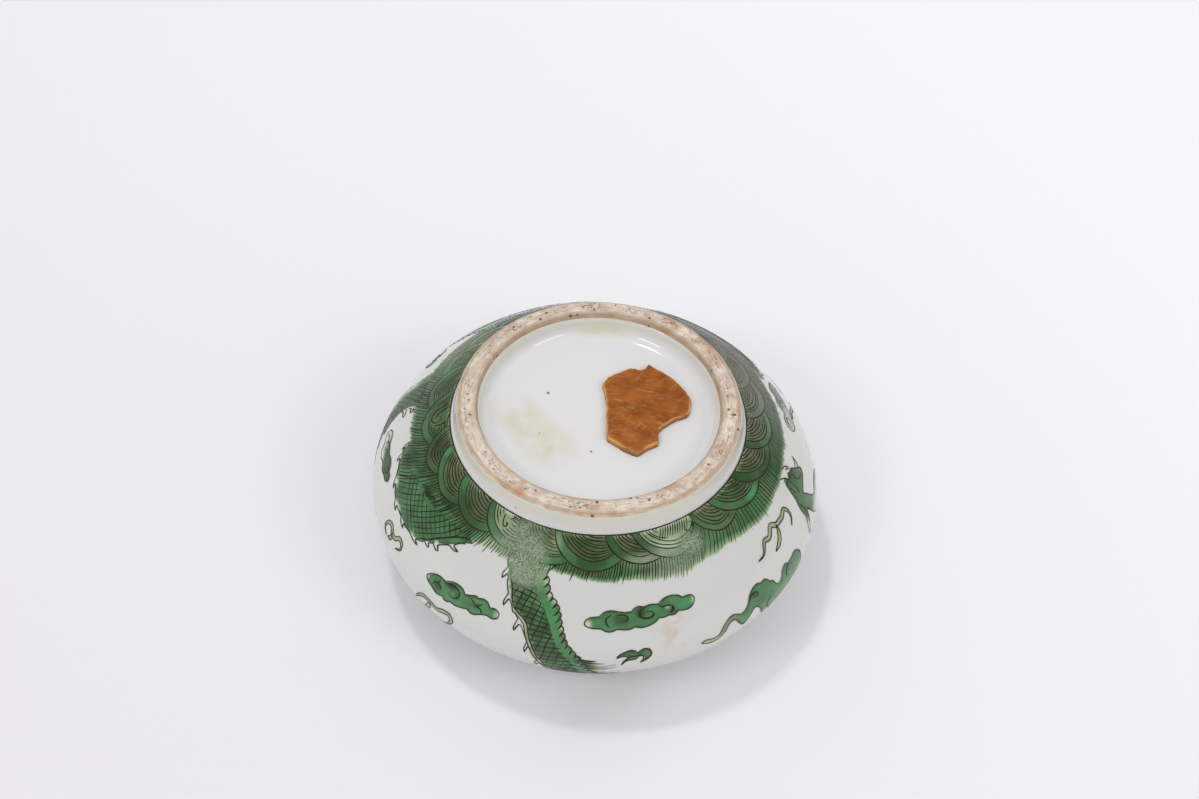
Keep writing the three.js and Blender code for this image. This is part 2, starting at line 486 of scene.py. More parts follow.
def glaze_material():
    """Warm and cool glaze, browner up the foot, with painted light in the recess, its stains and dots."""
    material, tree, shader = new_material("porcelain_glaze")
    where = place_on_pot(tree)
    slow = between(tree, noise_at(tree, where, 28.0), 0.35, 0.7)
    colour = blend_colours(tree, times(tree, slow, 0.5), GLAZE_COLOUR, GLAZE_WARM)
    raised = between(tree, height_of(tree, where), ROOT_HEIGHT + 0.3 * MM, HEIGHT - 1.6 * MM)
    colour = blend_colours(tree, times(tree, raised, 0.85), colour, FOOT_GLAZE)
    # The recess is painted whiter: light on the upturned base, and its wall's shade lifted.
    recess = between(tree, axis_distance(tree, where), FOOT_INNER_RADIUS, RECESS_WALL_RADIUS - 1.5 * MM)
    colour = blend_colours(tree, recess, colour, LIT_RECESS_GLAZE)
    high_up = between(tree, height_of(tree, where), HEIGHT - 2.0 * MM, CLAY_END_HEIGHT)
    near_clay = times(tree, recess, high_up)
    seeping = times(tree, near_clay, between(tree, noise_at(tree, where, 150.0, 4.0), 0.3, 0.6))
    colour = blend_colours(tree, times(tree, seeping, 0.6), colour, SEEPED_BROWN)
    ragged = between(tree, noise_at(tree, where, 170.0, 7.0), 0.30, 0.58)
    for right, back, over, radius, strength in BASE_STAINS:
        place = (right * MM, back * MM, BASE_HEIGHT + over * MM)
        stain = times(tree, near_spot(tree, where, place, radius * MM), ragged)
        colour = blend_colours(tree, times(tree, stain, strength), colour, STAIN_COLOUR)
    smears = between(tree, noise_at(tree, where, 480.0, 5.0), 0.48, 0.60)
    smears = times(tree, near_spot(tree, where, WALL_STAIN, WALL_STAIN_RADIUS), smears)
    colour = blend_colours(tree, times(tree, smears, 0.6), colour, SEEPED_BROWN)
    for place, radius in GLAZE_SPECKS:
        speck = between(tree, near_spot(tree, where, place, radius), 0.2, 0.6)
        colour = blend_colours(tree, times(tree, speck, 0.8), colour, SOOT_COLOUR)
    dots = dots_at(tree, where, 230.0)
    chosen = between(tree, noise_at(tree, where, 90.0, 0.0), 0.66, 0.70)
    pin = times(tree, between(tree, dots, 0.07, 0.03), chosen)
    colour = blend_colours(tree, times(tree, pin, 0.6), colour, PINHOLE_COLOUR)
    tree.links.new(colour, shader.inputs["Base Color"])
    shader.inputs["Roughness"].default_value = GLAZE_ROUGHNESS
    shader.inputs["IOR"].default_value = GLASS_IOR
    bump(tree, shader, noise_at(tree, where, 120.0, 2.0), 0.12, 0.3 * MM)
    return material


bowl.data.materials.append(glaze_material())
print("glaze", len(BASE_STAINS) + 1, "stains and", len(GLAZE_SPECKS), "specks")

# %% [markdown]
# The foot's face is left without glaze. Bare porcelain clay fires matt and chalky: pale in the
# middle, scorched brown where it meets the glaze, and pitted by the kiln's grit and soot. At the
# inner edge, where the face drops into the recess, the brown is also painted shade. One noise would
# look like stone, so we lay the marks on one by one: streaks drawn out along the ring by the wheel,
# scorched and shaded edges, warm spots, round specks and clusters of fine soot.

# %% Bare clay
BARE_COLOUR = (0.60, 0.485, 0.375, 1)
BARE_PALE = (0.79, 0.70, 0.59, 1)
SCORCHED = (0.40, 0.285, 0.18, 1)
CLAY_STREAK = (0.38, 0.29, 0.22, 1)
RUST_COLOUR = (0.44, 0.16, 0.045, 1)
RUST_SPOT = (-14.6 * MM, -23.4 * MM, 41.8 * MM)
RUST_RADIUS = 1.7 * MM
STREAK_STRETCH = 6
CLAY_ROUGHNESS = 0.8


def round_the_ring(tree, coordinates, radius):
    """Coordinates for marks drawn out along the ring: the way round it, shortened, and the radius."""
    parts = tree.nodes.new("ShaderNodeSeparateXYZ")
    tree.links.new(coordinates, parts.inputs["Vector"])
    bearing = add(tree, "ShaderNodeMath", operation="ARCTAN2")
    tree.links.new(parts.outputs["Y"], bearing.inputs[0])
    tree.links.new(parts.outputs["X"], bearing.inputs[1])
    way = add(tree, "ShaderNodeMath", operation="MULTIPLY")
    tree.links.new(bearing.outputs[0], way.inputs[0])
    way.inputs[1].default_value = FOOT_FACE_RADIUS / STREAK_STRETCH
    joined = add(tree, "ShaderNodeCombineXYZ")
    tree.links.new(way.outputs[0], joined.inputs["X"])
    tree.links.new(radius, joined.inputs["Y"])
    return joined.outputs["Vector"]


def bare_material():
    """Pale clay, scorched along both edges of the glaze, with specks of soot and one rusty spot.
    The brown at the inner edge is also painted shade.
    """
    material, tree, shader = new_material("bare_biscuit")
    where = place_on_pot(tree)
    radius = axis_distance(tree, where)
    patchy = between(tree, noise_at(tree, where, 420.0, 5.0), 0.35, 0.65)
    colour = blend_colours(tree, patchy, BARE_COLOUR, BARE_PALE)
    streaky = noise_at(tree, round_the_ring(tree, where, radius), 3000.0, 3.0)
    colour = blend_colours(tree, times(tree, between(tree, streaky, 0.48, 0.64), 0.62), colour, CLAY_STREAK)
    uneven = between(tree, noise_at(tree, where, 260.0, 5.0), 0.15, 0.60)
    bevel = times(tree, between(tree, radius, FOOT_FACE_RADIUS, FOOT_FACE_RADIUS + 0.45 * MM),
                  between(tree, radius, GLAZE_STOP_RADIUS + 0.1 * MM, GLAZE_STOP_RADIUS - 0.5 * MM))
    # The inner edge is scorched, and its brown also paints the shade where the face drops into the recess.
    scorched_and_shaded_edge = between(tree, radius, FOOT_INNER_RADIUS + 0.9 * MM, FOOT_INNER_RADIUS)
    for band, strength in ((bevel, 0.85), (scorched_and_shaded_edge, 0.95)):
        scorch = times(tree, band, plus(tree, times(tree, uneven, 0.6), 0.4))
        colour = blend_colours(tree, times(tree, scorch, strength), colour, SCORCHED)
    warm_spots = times(tree, between(tree, noise_at(tree, where, 200.0, 3.0), 0.56, 0.70), 0.55)
    colour = blend_colours(tree, warm_spots, colour, RUST_COLOUR)
    dots = dots_at(tree, where, 560.0)
    chosen = between(tree, noise_at(tree, where, 330.0, 0.0), 0.54, 0.60)
    dot = times(tree, between(tree, dots, 0.24, 0.14), chosen)
    colour = blend_colours(tree, times(tree, dot, 0.85), colour, SOOT_COLOUR)
    soot = times(tree, between(tree, noise_at(tree, where, 3200.0, 1.0), 0.55, 0.63),
                 between(tree, noise_at(tree, where, 190.0), 0.44, 0.60))
    middle = times(tree, between(tree, radius, FOOT_INNER_RADIUS + 0.4 * MM, FOOT_INNER_RADIUS + 1.5 * MM),
                   between(tree, radius, FOOT_FACE_RADIUS + 0.2 * MM, FOOT_FACE_RADIUS - 0.3 * MM))
    colour = blend_colours(tree, times(tree, times(tree, soot, middle), 0.9), colour, SOOT_COLOUR)
    rust = times(tree, near_spot(tree, where, RUST_SPOT, RUST_RADIUS), uneven)
    colour = blend_colours(tree, times(tree, rust, 0.9), colour, RUST_COLOUR)
    tree.links.new(colour, shader.inputs["Base Color"])
    shader.inputs["Roughness"].default_value = CLAY_ROUGHNESS
    bump(tree, shader, noise_at(tree, where, 1600.0, 4.0), 0.5, 0.1 * MM)
    return material


bowl.data.materials.append(bare_material())
print("bowl finishes", [slot.name for slot in bowl.data.materials])

# %% [markdown]
# Sealing wax is poured hot and sets as a thick, brittle cake. Only a broken part is left here.
# A cut plate would have dead straight sides, and a sculpted lump couldn't be measured. So we run a
# line through the corners of the break, between straight and curved, shrink it step by step to
# the middle of the cake, and let noise sink and dent the top. The frame's plate gives its place.

# %% Wax seal
# The corners of the break, as shares of the seal's box: -1 and 1 are its sides.
SEAL_SHARES = [
    (-1.0, 0.50), (-0.90, 0.66), (-0.66, 0.79), (-0.39, 0.91), (-0.17, 0.87), (-0.06, 0.91),
    (0.01, 1.0), (0.12, 0.96), (0.5, 0.76), (0.77, 0.55), (0.96, 0.32), (1.0, 0.24),
    (0.97, -0.01), (0.92, -0.08), (0.66, -0.18), (0.4, -0.35), (0.28, -0.47), (0.3, -0.6),
    (0.29, -0.75), (0.07, -0.85), (-0.14, -1.0), (-0.4, -0.93), (-0.82, -0.7), (-0.87, -0.49),
    (-0.89, 0.07), (-0.95, 0.36),
]
# How far the cake keeps inside the frame's box, and how curved its broken edge is.
CAKE_SHARE = 0.985
CHIP_CURVE = 0.35
CHIP_STEPS = 5
EDGE_JITTER = 0.02
# Where along the outline the painted golden highlight is brightest.
HIGHLIGHT_RIM_SHARE = 0.985
# From the foot of the cake up over its bevel: the share of the outline, and the share of the height.
BEVEL_LEVELS = [(1.0, 0.0), (1.0, 0.55), (HIGHLIGHT_RIM_SHARE, 0.85), (0.955, 1.0)]
TOP_SHARES = np.linspace(0.9, 0.08, 14)
TOP_SAG = 0.18 * MM
TOP_DENTS = 0.10 * MM
FOLD_RISE = 0.16 * MM


def paint_values(mesh, **values):
    """Stores one number for each point of the mesh, under a name that a material can read."""
    for name, numbers in values.items():
        attribute = mesh.attributes.new(name, "FLOAT", "POINT")
        attribute.data.foreach_set("value", np.asarray(numbers, np.float32))


def curve_between(a, b, c, d, t):
    """A place on the smooth curve through four points: b where t is 0, and c where t is 1."""
    return 0.5 * (2 * b + (c - a) * t + (2 * a - 5 * b + 4 * c - d) * t * t
                  + (3 * b - a - 3 * c + d) * t**3)


def chipped_outline(points, steps):
    """A closed outline through the points, partly straight and partly curved, as wax breaks."""
    points = np.array(points, float)
    count = len(points)
    made = []
    for k in range(count):
        a, b, c, d = (points[(k + i - 1) % count] for i in range(4))
        for t in np.arange(steps) / steps:
            straight = b + (c - b) * t
            made.append(CHIP_CURVE * curve_between(a, b, c, d, t) + (1 - CHIP_CURVE) * straight)
    return np.array(made)


def make_seal():
    """The cake, turned inward ring by ring from its foot to the middle of its top."""
    middle = (seal_low + seal_high) / 2
    half = (seal_high - seal_low) / 2
    outline = chipped_outline(SEAL_SHARES, CHIP_STEPS) * CAKE_SHARE
    jitter = np.array([noise.noise(Vector((x * 14, y * 14, 0.3))) for x, y in outline])
    outline *= (1 + EDGE_JITTER * jitter)[:, None]
    vertices, faces, rim = [], [], []
    levels = BEVEL_LEVELS + [(share, 1.0) for share in TOP_SHARES]
    count = len(outline)
    centre = outline.mean(0)
    for share, height in levels:
        for x, y in centre + (outline - centre) * share:
            place = Vector((middle.x + x * half.x, middle.y + y * half.y, 0))
            lift = seal_low.z + (seal_high.z - seal_low.z) * height
            if height == 1.0:
                lift -= TOP_SAG * (1 + noise.noise(place * 260)) / 2
                lift -= TOP_DENTS * (1 + noise.noise(place * 1100)) / 2
                fold = abs(y + 0.62 + 0.35 * x) / 0.07
                lift += FOLD_RISE * max(0.0, 1 - fold * fold) * (x < 0.3)
            vertices.append((place.x, place.y, lift))
            # Each point's share of the painted golden highlight, strongest on the top near the edge.
            rim.append(height * math.exp(-(((share - HIGHLIGHT_RIM_SHARE) / 0.02) ** 2)))
    for k in range(len(levels) - 1):
        for i in range(count):
            j = (i + 1) % count
            faces.append((k * count + i, (k + 1) * count + i, (k + 1) * count + j, k * count + j))
    faces.append(list(range((len(levels) - 1) * count, len(levels) * count))[::-1])
    faces.append(list(range(count)))
    piece = link("wax_seal_cake", vertices, faces)
    paint_values(piece.data, rim=rim)
    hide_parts("wax_seal")
    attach(piece, "root")
    return piece


seal = make_seal()
print("seal", [round(d / MM, 1) for d in seal.dimensions], "mm")

# %% [markdown]
# The wax is brown-orange, with a painted golden highlight along its broken edge. It was combed while
# it was soft and scratched later. Cutting each scratch into the mesh would take thousands of faces
# for hairs of light, so the finish draws them: noise stretched along one direction gives long threads.

# %% Wax
WAX_DEEP = (0.25, 0.062, 0.006, 1)
WAX_BRIGHT = (0.40, 0.118, 0.015, 1)
WAX_COMBED = (0.52, 0.23, 0.05, 1)
WAX_SCRATCHED = (0.62, 0.37, 0.15, 1)
# The colour of the painted highlight along the broken edge.
WAX_HIGHLIGHT = (0.78, 0.42, 0.09, 1)
COMB_ANGLE = -8
# Each set of scratches is its angle in degrees and its strength.
SCRATCHES = [(52, 0.34), (-40, 0.28), (COMB_ANGLE, 0.30)]
SCRATCH_STRETCH = 9.0
WAX_ROUGHNESS = 0.26


def scratches(tree, coordinates, angle, scale):
    """Thin scratches in one direction: noise drawn out along it."""
    node = add(tree, "ShaderNodeMapping", vector_type="TEXTURE")
    tree.links.new(coordinates, node.inputs["Vector"])
    node.inputs["Rotation"].default_value = (0, 0, math.radians(angle))
    node.inputs["Scale"].default_value = (SCRATCH_STRETCH, 1.0, 1.0)
    return noise_at(tree, node.outputs["Vector"], scale, 3.0)


def wax_material():
    """Brown-orange wax with a painted golden highlight at the edge, combed and scratched on top."""
    material, tree, shader = new_material("sealing_wax")
    where = place_on_pot(tree)
    patchy = between(tree, noise_at(tree, where, 260.0, 5.0), 0.35, 0.65)
    colour = blend_colours(tree, patchy, WAX_DEEP, WAX_BRIGHT)
    combed = times(tree, between(tree, scratches(tree, where, COMB_ANGLE, 3400.0), 0.5, 0.7),
                   between(tree, noise_at(tree, where, 90.0), 0.4, 0.6))
    colour = blend_colours(tree, times(tree, combed, 0.5), colour, WAX_COMBED)
    nicks = between(tree, noise_at(tree, where, 600.0, 0.0), 0.40, 0.60)
    for angle, strength in SCRATCHES:
        scratch = times(tree, between(tree, scratches(tree, where, angle, 2300.0), 0.61, 0.68), nicks)
        colour = blend_colours(tree, times(tree, scratch, strength), colour, WAX_SCRATCHED)
    # The stored rim number paints a golden highlight along the top of the broken edge.
    painted_highlight = times(tree, stored(tree, "rim"), between(tree, noise_at(tree, where, 500.0), 0.30, 0.55))
    colour = blend_colours(tree, painted_highlight, colour, WAX_HIGHLIGHT)
    tree.links.new(colour, shader.inputs["Base Color"])
    shader.inputs["Roughness"].default_value = WAX_ROUGHNESS
    dents = times(tree, noise_at(tree, where, 700.0, 4.0), 0.9)
    combing = times(tree, scratches(tree, where, COMB_ANGLE, 2600.0), 0.45)
    bump(tree, shader, plus(tree, combing, dents), 0.7, 0.25 * MM)
    return material


seal.data.materials.append(wax_material())
print("wax", len(SCRATCHES), "sets of scratches")

# %% [markdown]
# The painter worked on the glaze with two things: thin dark lines, and a glassy green enamel
# washed over and between them. Fired enamel stands a little proud of the glaze.
# A picture wrapped round the pot could show them flat. We lay each mark on the wall as real
# geometry, which stays sharp close up and catches the light at its edges. Its place is an angle
# round the pot in degrees, a length down the wall from the foot in mm, and a small lift in mm.

# %% The painter's grid
SLOPES = np.gradient(WALL, WALL_LENGTH, axis=0)
WASH_LIFT = 0.07
LINE_LIFT = 0.10


def mm_per_degree(down):
    """How many mm one degree round the pot takes, at a length down the wall in mm."""
    return np.interp(down, WALL_LENGTH / MM, WALL[:, 0] / MM) * math.pi / 180


def on_wall(angle, down, lift):
    """Points in metres. angle is in degrees, 0 at the front and rising to the right."""
    angle, down, lift = np.broadcast_arrays(np.radians(angle), down, lift)
    length = down * MM
    radius, height = (np.interp(length, WALL_LENGTH, WALL[:, k]) for k in (0, 1))
    along, fall = (np.interp(length, WALL_LENGTH, SLOPES[:, k]) for k in (0, 1))
    radius = radius - fall * lift * MM
    height = height + along * lift * MM
    return np.stack([radius * np.sin(angle), -radius * np.cos(angle), height], -1)


def ripple(angle, down, scale, seed=0.0):
    """Smooth noise between -1 and 1 over the wall. scale is in waves per mm."""
    angle, down = np.broadcast_arrays(np.atleast_1d(angle), np.atleast_1d(down))
    points = on_wall(angle, down, 0.0).reshape(-1, 3) / MM * scale
    values = [noise.noise(Vector((x + seed, y - seed, z))) for x, y, z in points]
    return np.array(values).reshape(angle.shape)


print("one degree at the foot", round(mm_per_degree(0.0), 2), "mm, at the belly",
      round(BELLY_RADIUS / MM * math.pi / 180, 2), "mm")

# %% [markdown]
# Long use rubbed the enamel in places. On the front slopes and at the back on the right the pale
# patches are also a painted sheen, a reflection of the lamps and the room in the glassy enamel.
# Wear made by noise alone would fall anywhere, so we list the patches once, and both the green and
# the dark lines ask how pale they are at a point.

# %% Worn patches and painted sheen
# The patches on the front slopes, from -28 to +35 degrees, and the wide one at 125 are partly painted
# sheen.
# Each patch is its angle, length down, half width in degrees, half height in mm and strength.
WEAR_AND_SHEEN_PATCHES = [
    (-20.5, 6.0, 8.5, 6.4, 1.0), (-20.0, 10.2, 6.5, 3.0, 0.9), (-28.0, 6.2, 6.0, 3.4, 0.7),
    (-25.5, 2.6, 5.0, 3.4, 0.85), (34.5, 5.4, 6.5, 3.4, 0.95), (29.0, 7.6, 8.0, 2.6, 0.6),
    (125.0, 5.0, 32.0, 10.0, 0.45), (160.0, 5.0, 9.0, 5.0, 0.75), (236.0, 6.0, 18.0, 9.0, 0.6),
]


def wear_and_sheen_at(angle, down):
    """0 where the enamel is whole, 1 where it is pale from rubbing and from a painted sheen."""
    angle = np.atleast_1d(np.asarray(angle, float))
    worn = np.zeros(np.broadcast(angle, down).shape)
    for centre, depth, width, height, strength in WEAR_AND_SHEEN_PATCHES:
        across = (angle - centre + 180) % 360 - 180
        distance = np.hypot(across / width, (down - depth) / height)
        worn = np.maximum(worn, strength * np.clip(1.6 - 1.6 * distance, 0, 1))
    return worn


print(len(WEAR_AND_SHEEN_PATCHES), "worn patches")

# %% [markdown]
# A brush line swells in the middle, thins at its ends and trembles a little. A curve object with a
# bevel would be round and even, so we run a smooth line through a few points and build a narrow
# ribbon along it, with its middle raised like real enamel. All lines of one kind share a mesh,
# which keeps the scene light.

# %% Brush lines
LINE_STEP = 0.4
LINE_RISE = 0.03


def smooth_line(points, step=LINE_STEP, closed=False):
    """A smooth curve through (angle, down) points, with a point about every step mm."""
    points = np.array(points, float)
    if closed:
        points = np.concatenate([points[-1:], points, points[:2]])
    else:
        first = 2 * points[0] - points[1]
        last = 2 * points[-1] - points[-2]
        points = np.concatenate([[first], points, [last]])
    made = []
    for a, b, c, d in zip(points, points[1:], points[2:], points[3:]):
        scale = mm_per_degree(b[1])
        count = max(2, int(math.hypot((c[0] - b[0]) * scale, c[1] - b[1]) / step))
        t = (np.arange(count) / count)[:, None]
        made.append(curve_between(a, b, c, d, t))
    if not closed:
        made.append(points[-2][None])
    return np.concatenate(made)


def moved(points, by_angle=0.0, by_down=0.0):
    """The same points at another place on the pot."""
    return np.array(points, float) + (by_angle, by_down)


class Ink:
    """Collects brush lines, and makes one mesh of them."""

    def __init__(self, seed, turned=0.0):
        self.random = np.random.default_rng(seed)
        self.turned = turned
        self.points = []
        self.faces = []
        self.green = []
        self.count = 0

    def line(self, points, width, green=0.5, ends=(0.35, 0.2), lift=LINE_LIFT, smooth=True):
        """One stroke. width is in mm, ends are the shares of it left at the start and the end."""
        path = smooth_line(points) if smooth else np.array(points, float)
        if len(path) < 2:
            return
        n = len(path)
        scale = mm_per_degree(path[:, 1])
        way = np.gradient(path, axis=0)
        way[:, 0] *= scale
        way /= np.linalg.norm(way, axis=1)[:, None] + 1e-9
        side = np.stack([-way[:, 1] / scale, way[:, 0]], 1)
        u = np.linspace(0, 1, n)
        swell = np.minimum(ends[0] + 4 * u, np.minimum(ends[1] + 3 * (1 - u), 1.0))
        knots = self.random.uniform(-1, 1, n // 3 + 2)
        tremble = 1 + 0.25 * np.interp(u * (len(knots) - 1), np.arange(len(knots)), knots)
        half = width / 2 * swell * tremble
        for share, rise in ((-1, 0.0), (0, LINE_RISE), (1, 0.0)):
            place = path + side * (share * half)[:, None]
            self.points.append(np.column_stack([place, np.full(n, lift + rise)]))
        for row in range(2):
            first = self.count + row * n
            for k in range(n - 1):
                self.faces.append((first + k, first + k + 1, first + n + k + 1, first + n + k))
        self.green.append(np.full(3 * n, green))
        self.count += 3 * n

    def edge(self, outline, width, green):
        """A line all round a closed outline."""
        self.line(np.concatenate([outline, outline[:1]]), width, green, ends=(0.9, 0.9), smooth=False)

    def finish(self, name, material):
        """Drops the pieces of the lines lost to wear and to the painted sheen, and makes the mesh."""
        points = np.concatenate(self.points) + (self.turned, 0, 0)
        worn = wear_and_sheen_at(points[:, 0], points[:, 1])
        rubbed = 0.5 + 0.5 * ripple(points[:, 0], points[:, 1], 1.6, 5.0)
        lost = worn * 0.52 > rubbed
        faces = [f for f in self.faces if not lost[list(f)].all()]
        piece = link(name, on_wall(*points.T), faces)
        paint_values(piece.data, green=np.concatenate(self.green), worn=worn)
        piece.data.materials.append(material)
        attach(piece, "root")
        print(name, len(faces), "faces")
        return piece


# %% [markdown]
# A wash of enamel fills an outline and pools into a soft raised edge. One big face would cut
# through the curved wall, so we fill the outline with small triangles, lift the inside a little,
# and store how far each point is from the edge, so that the material can let the colour pool
# there. The tone and the thinness may change over the wash.

# %% Enamel washes
WASH_STEP = 0.7
EDGE_LIFT = 0.015
EDGE_WIDTH = 0.45


def outline_distance(points, outline):
    """Distance of each point to a closed outline, and whether it lies inside."""
    start = outline
    edge = np.roll(outline, -1, axis=0) - start
    away = points[:, None] - start
    t = np.einsum("pek,ek->pe", away, edge) / ((edge**2).sum(1) + 1e-12)
    distance = np.linalg.norm(away - np.clip(t, 0, 1)[..., None] * edge, axis=-1).min(1)
    tall = np.where(abs(edge[:, 1]) < 1e-9, 1e-9, edge[:, 1])
    between_ends = (start[:, 1] > points[:, 1:]) != (start[:, 1] + edge[:, 1] > points[:, 1:])
    crossing = start[:, 0] + (points[:, 1:] - start[:, 1]) * edge[:, 0] / tall
    inside = (between_ends & (points[:, :1] < crossing)).sum(1) % 2 == 1
    return distance, inside


def near(*spots):
    """A function that is 1 at each spot and 0 away from it.

    Each spot is its angle, length down, half width in degrees and half height in mm.
    """
    def share(angle, down):
        most = np.zeros(np.shape(angle))
        for centre, depth, width, height in spots:
            away = np.hypot((angle - centre) / width, (down - depth) / height)
            most = np.maximum(most, np.clip(1.5 - 1.5 * away, 0, 1))
        return most
    return share


def wash(name, outline, tone=0.5, seed=1, thin=near(), dark=near(), lift=WASH_LIFT, turned=0.0):
    """Enamel inside an (angle, down) outline, thin and dark in places."""
    outline = np.array(outline, float)
    scale = mm_per_degree(outline[:, 1].mean())
    flat = outline * (scale, 1)
    low, high = flat.min(0), flat.max(0)
    across, along = (np.arange(low[k], high[k], WASH_STEP) for k in (0, 1))
    grid = np.stack(np.meshgrid(across, along), -1).reshape(-1, 2)
    grid += np.random.default_rng(seed).uniform(-0.2, 0.2, grid.shape) * WASH_STEP
    distance, inside = outline_distance(grid, flat)
    grid = grid[inside & (distance > WASH_STEP * 0.4)]
    corners = [Vector(p) for p in np.concatenate([flat, grid])]
    corners, _, faces, *_ = delaunay_2d_cdt(corners, [], [range(len(flat))], 1, 1e-5)
    placed = np.array([list(c) for c in corners])
    distance, _ = outline_distance(placed, flat)
    rise = EDGE_LIFT + (lift - EDGE_LIFT) * np.clip(distance / EDGE_WIDTH, 0, 1) ** 0.6
    angle, down = placed[:, 0] / scale, placed[:, 1]
    faded = np.clip(thin(angle, down) + 0.12 * ripple(angle, down, 0.9, seed), 0, 1)
    faded[thin(angle, down) <= 0] = 0
    blotch = 0.35 * ripple(angle, down, 0.35, seed * 3.7)
    toned = tone - 0.65 * dark(angle, down) + blotch
    angle = angle + turned
    piece = link(name, on_wall(angle, down, rise), [tuple(reversed(f)) for f in faces])
    paint_values(piece.data, tone=toned, edge=np.clip(distance, 0, 2), thin=faded,
                 worn=wear_and_sheen_at(angle, down), warm=np.zeros(len(angle)))
    piece.data.materials.append(ENAMEL)
    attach(piece, "root")
    return piece


# %% [markdown]
# The green is a copper glass: bright where it is thin over white, deep where it pools, and rubbed
# to pale grey grains where hands wore it. Where the lamps' sheen falls on it, the same pale grains
# are painted as a reflection. A material for each shade would make hard borders, so one material
# reads the numbers stored on each wash. The dark lines lie under the green in places, so a second
# material slides from brown to deep green.

# %% Enamel and line materials
DEEP_GREEN = (0.016, 0.040, 0.010, 1)
MID_GREEN = (0.044, 0.106, 0.036, 1)
BRIGHT_GREEN = (0.072, 0.200, 0.082, 1)
EMERALD = (0.060, 0.310, 0.115, 1)
OLIVE = (0.135, 0.145, 0.070, 1)
THIN_GREEN = (0.36, 0.45, 0.27, 1)
SHEEN_AND_RUBBED_GREEN = (0.32, 0.40, 0.27, 1)
SHEEN_AND_RUBBED_DARK = (0.085, 0.13, 0.072, 1)
SHEEN_AND_RUBBED_CLAY = (0.30, 0.26, 0.20, 1)
BROWN_LINE = (0.060, 0.036, 0.024, 1)
# At the back on the right the enamel greys: partly a dull bloom, partly a painted sheen of the
# backdrop seen at a grazing angle.
BLOOM_AND_SHEEN_GREY = (0.165, 0.155, 0.13, 1)
BLOOM_AND_SHEEN_SPOT = (24.0 * MM, 22.0 * MM, 36.0 * MM)
BLOOM_AND_SHEEN_RADIUS = 30.0 * MM
LINE_ROUGHNESS = 0.3
GREEN_LINE = (0.016, 0.022, 0.008, 1)


def enamel_material():
    """Copper green from deep to bright by the stored tone; pale where thin, where rubbed, and under painted
    sheen.
    """
    material, tree, shader = new_material("green_enamel")
    where = place_on_pot(tree)
    cloudy = between(tree, noise_at(tree, where, 420.0, 4.0), 0.3, 0.7)
    tone = plus(tree, stored(tree, "tone"), times(tree, cloudy, 0.3))
    colour = blend_colours(tree, between(tree, tone, 0.1, 0.7), DEEP_GREEN, MID_GREEN)
    colour = blend_colours(tree, between(tree, tone, 0.6, 1.1), colour, BRIGHT_GREEN)
    colour = blend_colours(tree, between(tree, tone, 1.1, 1.6), colour, EMERALD)
    warm = times(tree, stored(tree, "warm"), between(tree, noise_at(tree, where, 260.0), 0.3, 0.6))
    colour = blend_colours(tree, warm, colour, OLIVE)
    pooled = times(tree, between(tree, stored(tree, "edge"), 0.45, 0.1), 0.4)
    colour = blend_colours(tree, pooled, colour, DEEP_GREEN)
    thin = stored(tree, "thin")
    colour = blend_colours(tree, between(tree, thin, 0.0, 0.6), colour, THIN_GREEN)
    colour = blend_colours(tree, between(tree, thin, 0.5, 1.0), colour, GLAZE_COLOUR)
    worn = stored(tree, "worn")
    # Pale grains where the enamel is rubbed, and where a painted sheen stands for the lamps' reflection.
    flecks = between(tree, noise_at(tree, where, 3600.0, 4.0), 0.38, 0.62)
    pale = blend_colours(tree, flecks, SHEEN_AND_RUBBED_DARK, SHEEN_AND_RUBBED_GREEN)
    pale = blend_colours(tree, between(tree, noise_at(tree, where, 650.0), 0.56, 0.76), pale, SHEEN_AND_RUBBED_CLAY)
    grains = between(tree, noise_at(tree, where, 1300.0, 4.0), 0.3, 0.7)
    rubbed = plus(tree, times(tree, worn, 0.75), times(tree, grains, 0.25))
    colour = blend_colours(tree, between(tree, rubbed, 0.30, 0.80), colour, pale)
    # A dull grey at the back right: bloom, and a painted sheen of the backdrop.
    bloom_and_sheen = times(tree, near_spot(tree, where, BLOOM_AND_SHEEN_SPOT, BLOOM_AND_SHEEN_RADIUS), 1.3)
    colour = blend_colours(tree, bloom_and_sheen, colour, BLOOM_AND_SHEEN_GREY)
    tree.links.new(colour, shader.inputs["Base Color"])
    shader.inputs["IOR"].default_value = GLASS_IOR
    shader.inputs["Specular IOR Level"].default_value = 0.42
    tree.links.new(between(tree, plus(tree, worn, times(tree, grains, 0.2)), -0.5, 2.0),
                   shader.inputs["Roughness"])
    pitted = plus(tree, times(tree, worn, flecks), times(tree, noise_at(tree, where, 900.0, 4.0), 0.3))
    bump(tree, shader, pitted, 0.5, 0.07 * MM)
    return material


def line_material():
    """Brown to deep green by the stored number, pale where the line is rubbed and under painted sheen."""
    material, tree, shader = new_material("outline_enamel")
    where = place_on_pot(tree)
    uneven = times(tree, noise_at(tree, where, 700.0), 0.3)
    colour = blend_colours(tree, plus(tree, stored(tree, "green"), uneven), BROWN_LINE, GREEN_LINE)
    scuffed = between(tree, noise_at(tree, where, 2600.0, 3.0), 0.30, 0.55)
    # Pale where the line is worn, and where the painted sheen lies over it.
    pale = times(tree, stored(tree, "worn"), scuffed)
    colour = blend_colours(tree, times(tree, pale, 0.75), colour, SHEEN_AND_RUBBED_GREEN)
    tree.links.new(colour, shader.inputs["Base Color"])
    shader.inputs["Roughness"].default_value = LINE_ROUGHNESS
    shader.inputs["Specular IOR Level"].default_value = 0.2
    return material


ENAMEL = enamel_material()
LINES = line_material()
print("finishes", len(bpy.data.materials))

